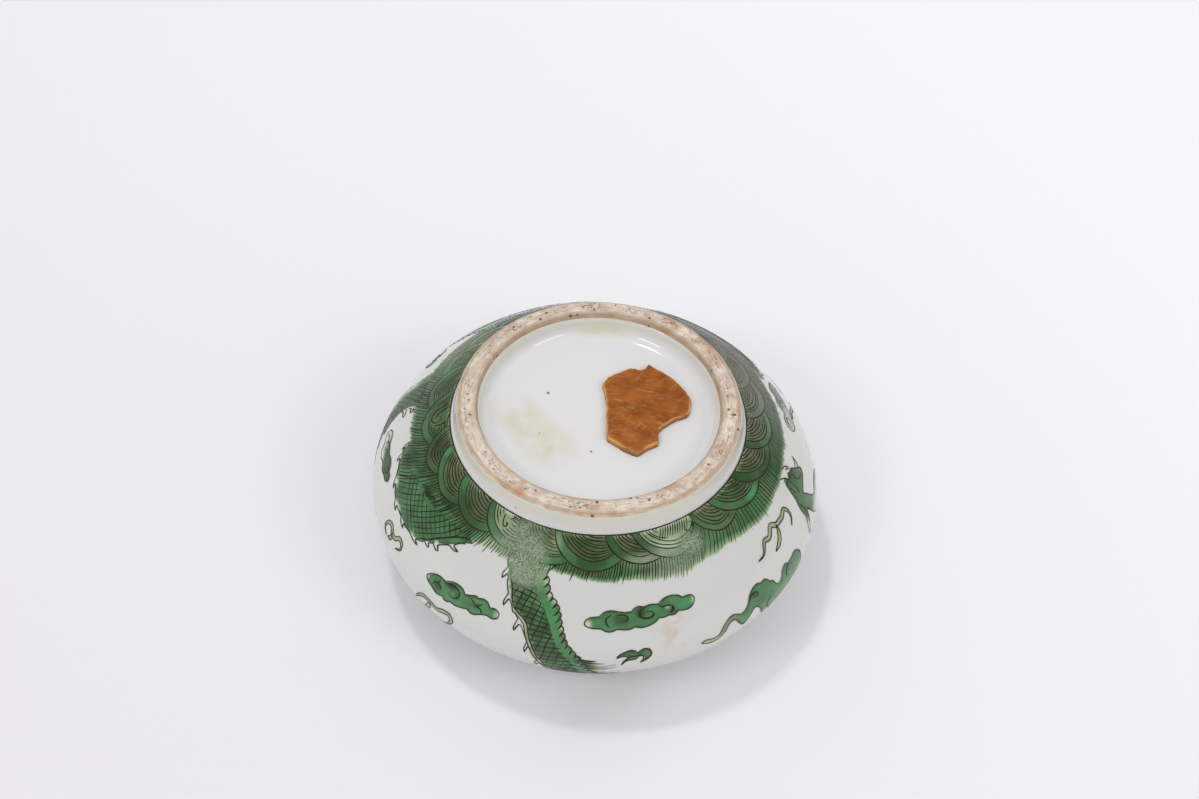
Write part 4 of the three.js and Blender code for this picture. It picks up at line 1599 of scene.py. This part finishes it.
class Body:
    """A long shape between a left and a right edge."""

    def __init__(self, left, right):
        self.left, left_length = resampled(left, EDGE_POINTS)
        self.right, right_length = resampled(right, EDGE_POINTS)
        self.length = (left_length + right_length) / 2
        middle = EDGE_POINTS // 2
        across, down = self.right[middle] - self.left[middle]
        self.width = math.hypot(across * mm_per_degree(self.left[middle][1]), down)

    def at(self, across, along):
        """The (angle, down) point at a share across, 0 left and 1 right, and a share along."""
        across, along = np.broadcast_arrays(np.atleast_1d(across), np.atleast_1d(along))
        place = np.clip(along, 0, 1) * (EDGE_POINTS - 1)
        order = np.arange(EDGE_POINTS)
        sides = []
        for edge in (self.left, self.right):
            sides.append(np.stack([np.interp(place, order, edge[:, k]) for k in (0, 1)], -1))
        return sides[0] + (sides[1] - sides[0]) * across[..., None]

    def part(self, low, high):
        """The outline of a lengthwise part, between two shares across."""
        along = np.linspace(0, 1, PART_POINTS)
        return np.concatenate([self.at(low, along), self.at(high, along)[::-1]])


def net(ink, inside, starts, lean, top, bottom, width=0.2, curve=0.0):
    """One set of a net's lines: they start at angles and drift by lean degrees for each mm down."""
    down = np.arange(top, bottom, LINE_STEP)
    for start in starts:
        wobble = 0.12 * np.sin(down * 1.3 + start)
        angle = start + lean * (down - top) + curve * (down - top) ** 2 + wobble
        for run in runs_of(np.stack([angle, down], 1), inside(angle, down)):
            thickness = width * ink.random.uniform(0.75, 1.25)
            ink.line(run, thickness, green=0.85, ends=(0.6, 0.4), smooth=False)


def belly_plates(ink, body, start=0.0, end=1.0, inner=0.87):
    """Comma strokes on the belly side, with the edge bulging between them."""
    count = int(body.length * (end - start) / PLATE_GAP)
    shares = np.linspace(start, end, count + 1)
    step = shares[1] - shares[0]
    for along in shares:
        hook = body.at([1.0, 0.97, 0.92, inner], along + step * np.array([0.05, 0.22, 0.48, 0.66]))
        ink.line(hook, ink.random.uniform(0.26, 0.36), green=0.7, ends=(1.0, 0.15))
        bulge = body.at([0.995, 1.03, 1.035, 1.0], along + step * np.array([0.05, 0.3, 0.75, 1.05]))
        ink.line(bulge, 0.24, green=0.2, ends=(0.8, 0.8))


def spike(ink, root, tip, end, width=0.22):
    """A fin's hook: out to the tip along a curve, and back under it."""
    root, tip, end = (np.array(p, float) for p in (root, tip, end))
    belly = (root + tip) / 2 + (tip - end) * 0.30
    hollow = (tip + end) / 2 + (root - tip) * 0.30
    ink.line([root, belly, tip], width, green=0.0, ends=(0.9, 0.5))
    ink.line([tip, hollow, end], width * 1.4, green=0.0, ends=(0.5, 0.5))


# %% [markdown]
# At the front a body falls from the sea, with a fin down its left edge, green scales, and bright
# belly plates down its right edge. It is painted in that order: the washes first, then the scales,
# the plates and the fin, so that each line lies over its colour. A second body falls at the back.

# %% Falling body
FRONT_LEFT = [
    (-25.9, 8.3), (-25.7, 9.0), (-25.1, 9.9), (-24.8, 11.3), (-23.9, 12.2), (-23.3, 13.5), (-22.5, 14.5),
    (-21.7, 15.7), (-20.6, 16.7), (-19.7, 17.8), (-18.2, 18.7), (-17, 20), (-16.1, 21.2), (-15, 22.9),
    (-14.3, 24.3), (-13.4, 26), (-12.7, 27), (-11.4, 28.4), (-9.5, 32.5), (-6, 36.5), (0, 39.5),
    (8, 41.5), (16, 42.2),
]
FRONT_RIGHT = [
    (-13.0, 7.6), (-12.8, 8.8), (-12.3, 10.2), (-11.7, 11.3), (-10.8, 12.5), (-9.7, 13.3), (-8.7, 14.1),
    (-8, 15.2), (-7.4, 16.5), (-6.9, 17.8), (-6.3, 19.2), (-5.6, 20.7), (-4.9, 22), (-3.8, 23),
    (-2.6, 24.2), (-1.4, 25.2), (-0.6, 26.6), (1.5, 30), (4, 32.4), (8, 35), (13, 37.5), (19, 40),
]
# The line inside the left edge, where the scales begin.
FRONT_INNER = [
    (-25.0, 8.2), (-24.2, 9.8), (-23.1, 11.8), (-22.2, 12.8), (-21.5, 14.2), (-21, 15.4), (-19.9, 16.8),
    (-18.2, 17.7), (-16.5, 18.6), (-15.5, 19.6), (-15, 21), (-14.4, 22.3), (-13.8, 23.4), (-12.9, 25),
    (-12.2, 26.4), (-11, 28), (-9, 32),
]
FRONT_SPIKES = [
    ((-25.1, 9.7), (-25.8, 12.3), (-24.0, 11.6)), ((-22.5, 14.5), (-22.9, 17.2), (-21.4, 15.8)),
    ((-18.2, 18.8), (-18.7, 21.5), (-17.1, 20.0)), ((-14.9, 23.0), (-15.3, 26.0), (-14.0, 24.4)),
    ((-12, 27.6), (-12.6, 30.2), (-10.9, 29.2)), ((-9.4, 32.8), (-9.3, 35.2), (-7.8, 34.8)),
]
FRONT_FIN = [
    [(-26.1, 7.2), (-25.9, 8.7), (-25.1, 9.7)],
    [(-24.0, 11.6), (-23.8, 12.6), (-23.2, 13.6), (-22.5, 14.5)],
    [(-21.4, 15.8), (-20.6, 16.7), (-20, 17.7), (-19.2, 17.9), (-18.2, 18.8)],
    [(-17.1, 20.0), (-16.1, 21.2), (-15.6, 22), (-14.9, 23.0)], [(-14, 24.4), (-13.4, 26), (-12, 27.6)],
    [(-10.9, 29.2), (-10, 31.2), (-9.4, 32.8)],
]
MANE = [
    [(-2.2, 24.8), (0, 25.7), (3, 25.8)], [(-2.6, 25.6), (0.8, 26.4), (4.8, 26.6)],
    [(-3, 26.2), (1, 27.4), (4.6, 27.7), (7.6, 26.9)], [(-4, 27), (0.5, 28.4), (5.5, 28.6), (8, 27.6)],
    [(-5, 28), (-0.5, 29.6), (5.5, 30.3)], [(-6, 29), (-1, 31), (4, 31.8), (9, 31)],
    [(-6, 30.2), (-1, 32.6), (5, 33.6)],
]
MANE_EDGE = [
    (-4, 24.4), (-0.6, 25.4), (3, 25.7), (1.8, 26.2), (4.8, 26.6), (4.2, 27.2), (7.6, 26.9), (5.4, 28.2),
    (3.4, 29.6), (1.0, 31.0), (-2.5, 31.6), (-6.5, 30.5),
]
FIN_GREEN = near((-19.2, 18.8, 1.2, 1.6), (-23.9, 9.8, 3.0, 2.4), (-14.6, 21.8, 1.0, 2.0))
BELLY_SPOTS = near(
    (-12.6, 9.4, 1.4, 2.0), (-11.0, 12.2, 0.9, 1.2), (-9.4, 13.8, 0.9, 1.0), (-6.6, 18.6, 0.8, 1.0),
)


def body_thin(angle, down):
    """Thin near the sea, and nearly bare between the fin's edge and the first scales."""
    inner = smooth_line(FRONT_INNER)
    bare = np.clip((np.interp(down, inner[:, 1], inner[:, 0]) - angle) / 0.5 + 0.3, 0, 1)
    return np.maximum(0.18 * np.clip((17 - down) / 6, 0, 1), bare * (0.6 - 0.4 * FIN_GREEN(angle, down)))


def belly_thin(angle, down):
    """Thin near the sea, and nearly bare at a few plates."""
    return np.maximum(0.22 * np.clip((13 - down) / 3, 0, 1), 0.8 * BELLY_SPOTS(angle, down))


def front_body_parts(turned, name, seed):
    """The body that falls from the sea: its mane, scales and belly in green, then its lines."""
    body = Body(FRONT_LEFT, FRONT_RIGHT)
    inner = smooth_line(FRONT_INNER)
    edge = body.at(0.04, np.linspace(0, 1, 90))

    def scales_from(down):
        """The angle where the scales begin: at the line inside the fin, and never past the edge."""
        first = np.interp(down, inner[:, 1], inner[:, 0])
        return np.maximum(first, np.interp(down, edge[:, 1], edge[:, 0]))

    wash(name + "_mane_wash", smooth_line(MANE_EDGE, closed=True), tone=0.35, seed=seed + 1, turned=turned,
         thin=near((6, 27, 5, 3), (5, 31, 5, 4)))
    wash(name + "_wash", body.part(0.02, SCALE_SHARE + 0.05), tone=0.45, seed=seed, turned=turned,
         lift=WASH_LIFT + 0.01, thin=body_thin)
    wash(name + "_belly_wash", body.part(SCALE_SHARE - 0.02, 1.01), tone=1.0, seed=seed + 2, turned=turned,
         lift=WASH_LIFT + 0.02, thin=belly_thin)
    ink = Ink(seed, turned)

    def scaly(angle, down):
        right = body.at(SCALE_SHARE, np.linspace(0, 1, 60))
        return (angle > scales_from(down)) & (angle < np.interp(down, right[:, 1], right[:, 0]))

    for row in np.arange(12.3, 37.0, 1.12):
        share = np.linspace(0.02, 1.0, 24)
        left = scales_from(row)
        right = body.at(SCALE_SHARE + 0.06, np.linspace(0, 1, 60))
        right = np.interp(row, right[:, 1], right[:, 0])
        droop = np.interp(row, [16, 24], [0.9, -0.5])
        path = np.stack([left + (right - left) * share, row + droop * share**2], 1)
        ink.line(path, ink.random.uniform(0.17, 0.26), green=0.85, ends=(0.6, 0.4), smooth=False)
    net(ink, scaly, np.arange(-22.0, 9.0, 1.95), -0.33, 12.0, 37.0)
    ink.line(FRONT_INNER[1:], 0.28, green=0.5, ends=(0.3, 0.3))
    ink.line(moved(FRONT_INNER[7:], -0.8, 0.3), 0.22, green=0.5, ends=(0.3, 0.3))
    belly_plates(ink, body, start=0.035, end=0.97)
    ink.line([(-10.2, 6.5), (-12.3, 7.6), (-13.1, 8.8), (-12.6, 10.0)], 0.24, green=0.4)
    for root, tip, end in FRONT_SPIKES:
        spike(ink, root, tip, end)
    for fin_edge in FRONT_FIN:
        ink.line(fin_edge, 0.24, green=0.1, ends=(0.8, 0.8))
    for stroke in MANE:
        ink.line(stroke, 0.26, green=0.35, ends=(0.9, 0.1))
    ink.finish(name + "_lines", LINES)
    return body


front_body = front_body_parts(0.0, "front_dragon", 51)
front_body_parts(HIDDEN_TURN + 30, "hidden_dragon", 54)
print("front body", round(front_body.length, 1), "mm long,", round(front_body.width, 1), "mm wide")

# %% [markdown]
# To the left a second dragon's back arches out of the sea: its upper edge is lost in the spray and
# its lower edge carries the fin. The net of scales lies aslant and curves with the back, so its
# lines drift faster the further down they run. Between the net and the fin, on the right, runs a
# bright strip without scales, which gets a wash of its own over the back's.

# %% Arching back
ARCH_UPPER = [
    (-84, 7.5), (-76, 7.5), (-68, 7.4), (-60, 7.3), (-52, 7.2), (-46, 7.1), (-41.5, 7.6), (-38.6, 9.0),
]
ARCH_LOWER = [
    (-85, 9.8), (-83.3, 12), (-80.5, 13.3), (-77, 14.6), (-74, 15.6), (-70.5, 16.6), (-66, 17),
    (-61.5, 17.4), (-57.5, 17.3), (-54.8, 16.7), (-52, 15.4), (-49.5, 14.4), (-47, 13.2), (-44.2, 11.9),
    (-41.6, 10.4), (-38.6, 9.4),
]
ARCH_SPIKES = [
    ((-84.8, 10.2), (-84.0, 12.6), (-83.3, 12.0)), ((-82.6, 12.5), (-81.2, 14.2), (-80.5, 13.4)),
    ((-76.6, 14.8), (-73.8, 16.6), (-73.6, 15.8)), ((-70.4, 16.7), (-67.4, 18.0), (-67.2, 17.1)),
    ((-64.4, 17.2), (-61.2, 18.3), (-61.0, 17.5)), ((-57.6, 17.4), (-53.8, 17.6), (-54.8, 16.8)),
    ((-52.4, 15.7), (-50.2, 15.9), (-50.6, 15.0)), ((-49.6, 14.6), (-47.0, 15.0), (-47.6, 13.8)),
    ((-45.0, 12.5), (-41.4, 12.4), (-43.4, 11.6)),
]
ARCH_FIN = [
    [(-83.3, 12.0), (-82.6, 12.5)], [(-80.5, 13.4), (-78.4, 14.0), (-76.6, 14.8)],
    [(-73.6, 15.8), (-72, 16.4), (-70.4, 16.7)], [(-67.2, 17.1), (-65.8, 17.1), (-64.4, 17.2)],
    [(-61.0, 17.5), (-59.2, 17.3), (-57.6, 17.4)], [(-54.8, 16.8), (-53.6, 16.4), (-52.4, 15.7)],
    [(-50.6, 15.0), (-49.6, 14.6)], [(-47.6, 13.8), (-46.2, 13.0), (-45.0, 12.5)],
    [(-43.4, 11.6), (-42, 10.7), (-40.6, 10.2)],
]
ARCH_INNER = [(-53.0, 15.6), (-51, 14.3), (-48, 12.3), (-44.6, 10.4), (-42, 9.4), (-40.2, 9.0)]
BRIGHT_STRIP = [
    (-47.8, 13.0), (-46.5, 11.8), (-44.6, 10.7), (-42.4, 9.8), (-41.1, 9.6), (-42, 10.3), (-44, 11.4),
    (-46, 12.6),
]
ARCH_SPOTS = near((-75, 15.2, 2.5, 0.6), (-68, 16.9, 3, 0.4), (-57, 17.2, 2, 0.4), (-48.5, 14.1, 1.6, 0.4))
ARCH_DARK = near((-78, 10.5, 4, 2.4), (-61.5, 9.0, 4, 0.8))
# The highest scales, just under the spray.
ARCH_SCALE_TOP = [
    (-84, 11.0), (-79, 9.9), (-74, 10.3), (-70, 9.6), (-66, 10.4), (-62, 10.1), (-58, 9.9), (-54, 8.9),
    (-49, 8.6), (-46, 7.9), (-40, 8.4),
]


def arching_back(name, turned, seed):
    """The back that arches out of the sea: its washes, its net of scales and its fin."""
    body = Body(ARCH_UPPER, ARCH_LOWER)
    wash(name + "_wash", body.part(0.0, 1.0), tone=0.66, seed=seed, lift=WASH_LIFT + 0.015, turned=turned,
         thin=ARCH_SPOTS, dark=ARCH_DARK)
    wash(name + "_strip_wash", smooth_line(BRIGHT_STRIP, closed=True), tone=1.9, seed=seed + 1,
         lift=WASH_LIFT + 0.03, turned=turned)
    ink = Ink(seed, turned)
    lower = smooth_line(ARCH_LOWER)
    top = smooth_line(ARCH_SCALE_TOP)
    bright = smooth_line(ARCH_INNER)

    def scaly(angle, down):
        lowest = np.interp(angle, lower[:, 0], lower[:, 1] - 0.4)
        lowest = np.minimum(lowest, np.interp(angle, bright[:, 0], bright[:, 1], left=99))
        return (angle > -82) & (down > np.interp(angle, top[:, 0], top[:, 1])) & (down < lowest)

    net(ink, scaly, np.arange(-68, -36, 2.3), -1.0, 8.2, 18.0, width=0.17, curve=-0.06)
    net(ink, scaly, np.arange(-80.4, -68, 1.35), -0.8, 8.2, 18.0, width=0.2, curve=-0.05)
    net(ink, scaly, np.arange(-76.5, -44, 2.6), 1.3, 8.2, 18.0, width=0.17, curve=0.07)
    ink.line(ARCH_INNER, 0.36, green=0.7, ends=(0.3, 0.6))
    for root, tip, end in ARCH_SPIKES:
        spike(ink, root, tip, end)
    for fin_edge in ARCH_FIN:
        ink.line(fin_edge, 0.24, green=0.3, ends=(0.8, 0.8))
    ink.finish(name + "_lines", LINES)
    return body


arch = arching_back("arching_back", 0.0, 61)
arching_back("hidden_back", HIDDEN_TURN, 64)
print("arching back", round(arch.length, 1), "mm long")

# %% [markdown]
# Further round to the left a third body falls from the sea and tapers to a tail, with hooks down
# its right edge. The photograph shows only its right edge, so the rest follows the first body.

# %% Far body
FAR_LEFT = [
    (-115, 8.8), (-113, 11.5), (-111, 14.4), (-110.2, 17.5), (-108.5, 20.5), (-106, 23), (-103, 25.5),
    (-98.5, 28), (-93, 30), (-86, 31.4),
]
FAR_RIGHT = [
    (-99.5, 9), (-100.2, 11.3), (-101, 13), (-100.6, 15.6), (-99.2, 18), (-98.2, 20.5), (-96.6, 23),
    (-94.2, 25.6), (-91, 28), (-86, 31.2),
]
FAR_SPIKES = [
    ((-99.2, 10.6), (-97.4, 11.4), (-100, 12.4)), ((-100.4, 13.2), (-97, 13.6), (-100.4, 15)),
    ((-98.9, 18.6), (-96.6, 20.6), (-98.1, 20.9)), ((-97.3, 22.0), (-94.4, 23.6), (-96.0, 24.0)),
    ((-94.9, 25.0), (-91.8, 26.3), (-93.4, 26.7)),
]
FAR_SCALES = (0.3, 0.93)

far_body = Body(FAR_LEFT, FAR_RIGHT)
wash("far_dragon_wash", far_body.part(0.0, 1.0), tone=0.5, seed=81, lift=WASH_LIFT + 0.015,
     thin=near((-110.5, 16, 1.6, 4)))
far_ink = Ink(81)


def far_scaly(angle, down):
    """Whether a point lies on the scaly part of the far body."""
    edges = (far_body.at(share, np.linspace(0, 1, 60)) for share in FAR_SCALES)
    left, right = (np.interp(down, edge[:, 1], edge[:, 0]) for edge in edges)
    return (angle > left) & (angle < right)


net(far_ink, far_scaly, np.arange(-112, -84, 1.9), -0.9, 9.0, 31.0)
net(far_ink, far_scaly, np.arange(-140, -98, 1.9), 1.2, 9.0, 31.0)
for side in (0.0, 1.0):
    far_ink.line(far_body.at(side, np.linspace(0, 1, 40)), OUTLINE_WIDTH, green=0.1)
for spike_root, spike_tip, spike_end in FAR_SPIKES:
    spike(far_ink, spike_root, spike_tip, spike_end)
far_ink.finish("far_dragon_lines", LINES)

# %% [markdown]
# Claws reach out between the clouds: a foot with curved toes at the right, and only the toes of
# another low at the front. A toe is all hooks and hollows, so their outlines are drawn point by point.

# %% Feet and claws
RIGHT_FOOT = [
    (78.3, 11.8), (77.3, 13.4), (76.8, 15.5), (75.9, 17.5), (76, 19.5), (76.3, 20.6), (75.6, 22.2),
    (75.4, 24.6), (76.6, 23.6), (77.6, 22), (78.6, 20.4), (80.2, 22), (82.5, 24.6), (86, 27), (92, 29),
    (99, 29), (97.5, 25.4), (94.5, 22.9), (90, 21.7), (86.2, 22.2), (84.2, 20.8), (82.6, 19),
    (81.5, 17.6), (84.2, 16.9), (87.2, 16.4), (88.3, 15.6), (87.4, 14.6), (86.2, 13.8), (85, 12.6),
    (83.4, 12.4), (82, 11.8), (80.8, 12.3),
]
RIGHT_FOOT_LINES = [
    [(77.4, 10.2), (78.8, 10.8), (80, 11.7), (80.2, 12.7)], [(78, 11.6), (79.2, 11.4), (79.9, 12.3)],
    [(81.6, 10.2), (83, 10.4), (84.2, 11.2), (84.6, 12.3)], [(82.4, 11.2), (83.4, 11.2), (84, 12.2)],
    [(86.2, 13.7), (88, 13.6), (89.6, 12.6)], [(87.2, 14.8), (88.6, 14.3), (89.6, 12.6)],
    [(80.3, 13), (80.3, 14.8), (79.9, 16.4)], [(83.2, 13), (83.2, 14.4), (84, 15.4), (86.6, 15.9)],
    [(78.4, 19.4), (80, 21.4), (81.7, 24)], [(78.2, 13.4), (78.6, 15.4)],
    [(81.6, 12.2), (81.6, 13.2)], [(76.8, 17.4), (77.6, 19), (77, 21.2)],
]
FRONT_CLAW = [
    (8.9, 27.2), (9.5, 25.9), (10.6, 25.2), (9.4, 24.6), (7.6, 25), (9, 23.9), (11, 23.3), (12.8, 24),
    (14.4, 23.3), (16, 23.8), (16.3, 25), (15.4, 26.1), (13.6, 27), (14.5, 25.9), (14.2, 25),
    (13, 25), (12.4, 25.7), (10.9, 25.8), (9.8, 26.2),
]
CLAW_SHIFT = (19, -9)
TOE_LINE_WIDTH = 0.2
FRONT_CLAW_LINES = [
    [(7.6, 24.7), (9, 23.8), (11, 23.2), (12.4, 23.5), (13, 24.3)],
    [(12.7, 24), (14.4, 23.2), (16, 23.6), (16.3, 24.9), (15.2, 26), (14.2, 26.9)],
    [(10.5, 24.4), (12, 24.9), (13.4, 24.6), (14.4, 25.4), (13.6, 26.8)],
    [(12.4, 24.6), (10.8, 25), (9.5, 25.9), (8.8, 27.3)],
]

foot_outline = smooth_line(RIGHT_FOOT, closed=True)
claw_outline = smooth_line(FRONT_CLAW, closed=True)
painted_shape("right_foot", foot_outline, RIGHT_FOOT_LINES, tone=0.5, seed=71, width=TOE_LINE_WIDTH,
              thin=near((88, 26, 12, 5), (76, 23.4, 2, 2.4)))
painted_shape("front_claw", claw_outline, FRONT_CLAW_LINES, tone=0.5, seed=72, width=TOE_LINE_WIDTH)
painted_shape("hidden_claw", moved(claw_outline, *CLAW_SHIFT),
              [moved(toe, *CLAW_SHIFT) for toe in FRONT_CLAW_LINES],
              tone=0.3, seed=73, width=TOE_LINE_WIDTH, turned=HIDDEN_TURN)

# %% [markdown]
# A plain pale table in a room of soft light. A lamp high up, a little to the left and behind,
# throws the round shadow with its clear edge. Two lamps in front draw the streaks in the hollow of
# the foot, and a wide one at the left lifts the wall on that side. One strong lamp would do for the
# shadow, but the glaze is a mirror, and what it mirrors shows its shape. So the camera and the
# reflections see a pale backdrop near the table, a dark ceiling above it and a darker right side.

# %% Table and light
# The table grades from dim to bright: painted light, stronger to the right and the back.
TABLE_DIM = (0.80, 0.785, 0.81, 1)
TABLE_BRIGHT = (0.945, 0.94, 0.955, 1)
TABLE_COLOUR = (0.84, 0.83, 0.85, 1)
CEILING_COLOUR = (0.10, 0.10, 0.10, 1)
DARK_SIDE = (0.22, 0.22, 0.22, 1)
WALL_LIGHT = (1.62, 1.62, 1.64, 1)
CEILING_LIGHT = (0.65, 0.65, 0.665, 1)
TABLE_REACH = 3.0
LAMP_AIM = Vector((0, 0, 20 * MM))


def add_table():
    """A flat sheet, painted a little lighter to the right and the back, as the light grows that way."""
    corners = [(-1, -1, 0), (1, -1, 0), (1, 1, 0), (-1, 1, 0)]
    floor = link("table", np.array(corners) * TABLE_REACH, [(0, 1, 2, 3)], smooth=False)
    material, tree, shader = new_material("table_top")
    where = place_on_pot(tree)
    painted_light = between(tree, length_along(tree, where, (1, 1, 0)), -0.16, 0.26)
    colour = blend_colours(tree, painted_light, TABLE_DIM, TABLE_BRIGHT)
    tree.links.new(colour, shader.inputs["Base Color"])
    shader.inputs["Roughness"].default_value = 0.9
    floor.data.materials.append(material)


def add_lamp(name, place, width, height, power):
    """A flat lamp that points at the pot."""
    data = bpy.data.lights.new(name, "AREA")
    data.shape = "ELLIPSE" if width == height else "RECTANGLE"
    data.size = width
    data.size_y = height
    data.energy = power
    lamp = bpy.data.objects.new(name, data)
    lamp.location = place
    lamp.rotation_euler = (LAMP_AIM - Vector(place)).to_track_quat("-Z", "Y").to_euler()
    bpy.context.scene.collection.objects.link(lamp)


def add_room():
    """The room's light, and what the camera and the reflections see of the room."""
    world = bpy.data.worlds.new("room")
    world.use_nodes = True
    tree = world.node_tree
    way = add(tree, "ShaderNodeTexCoord").outputs["Generated"]
    height = height_of(tree, way)
    light = tree.nodes["Background"]
    lit = blend_colours(tree, between(tree, height, 0.0, 0.42), WALL_LIGHT, CEILING_LIGHT)
    tree.links.new(lit, light.inputs["Color"])
    backdrop = add(tree, "ShaderNodeBackground", Strength=1.0)
    shown = blend_colours(tree, between(tree, height, 0.02, 0.30), TABLE_COLOUR, CEILING_COLOUR)
    to_right = length_along(tree, way, (1, 0, 0))
    darker = times(tree, between(tree, to_right, 0.0, 0.7), 0.8)
    shown = blend_colours(tree, darker, shown, DARK_SIDE)
    tree.links.new(shown, backdrop.inputs["Color"])
    mix = tree.nodes.new("ShaderNodeMixShader")
    rays = tree.nodes.new("ShaderNodeLightPath")
    direct = plus(tree, rays.outputs["Is Camera Ray"], rays.outputs["Is Glossy Ray"])
    direct = plus(tree, direct, rays.outputs["Is Transmission Ray"])
    tree.links.new(direct, mix.inputs[0])
    tree.links.new(light.outputs[0], mix.inputs[1])
    tree.links.new(backdrop.outputs[0], mix.inputs[2])
    tree.links.new(mix.outputs[0], tree.nodes["World Output"].inputs["Surface"])
    bpy.context.scene.world = world


add_table()
add_lamp("high_lamp", (-0.27, 0.20, 1.2), 0.16, 0.16, 2.5)
add_lamp("left_lamp", (-0.61, -0.57, 0.86), 0.36, 0.22, 1.65)
add_lamp("right_lamp", (0.70, -0.51, 0.83), 0.46, 0.28, 1.75)
add_lamp("side_lamp", (-1.5, -0.3, 0.40), 2.2, 0.8, 0.5)
add_room()
bpy.context.scene.view_settings.view_transform = "Standard"
print("lamps", len(bpy.data.lights))
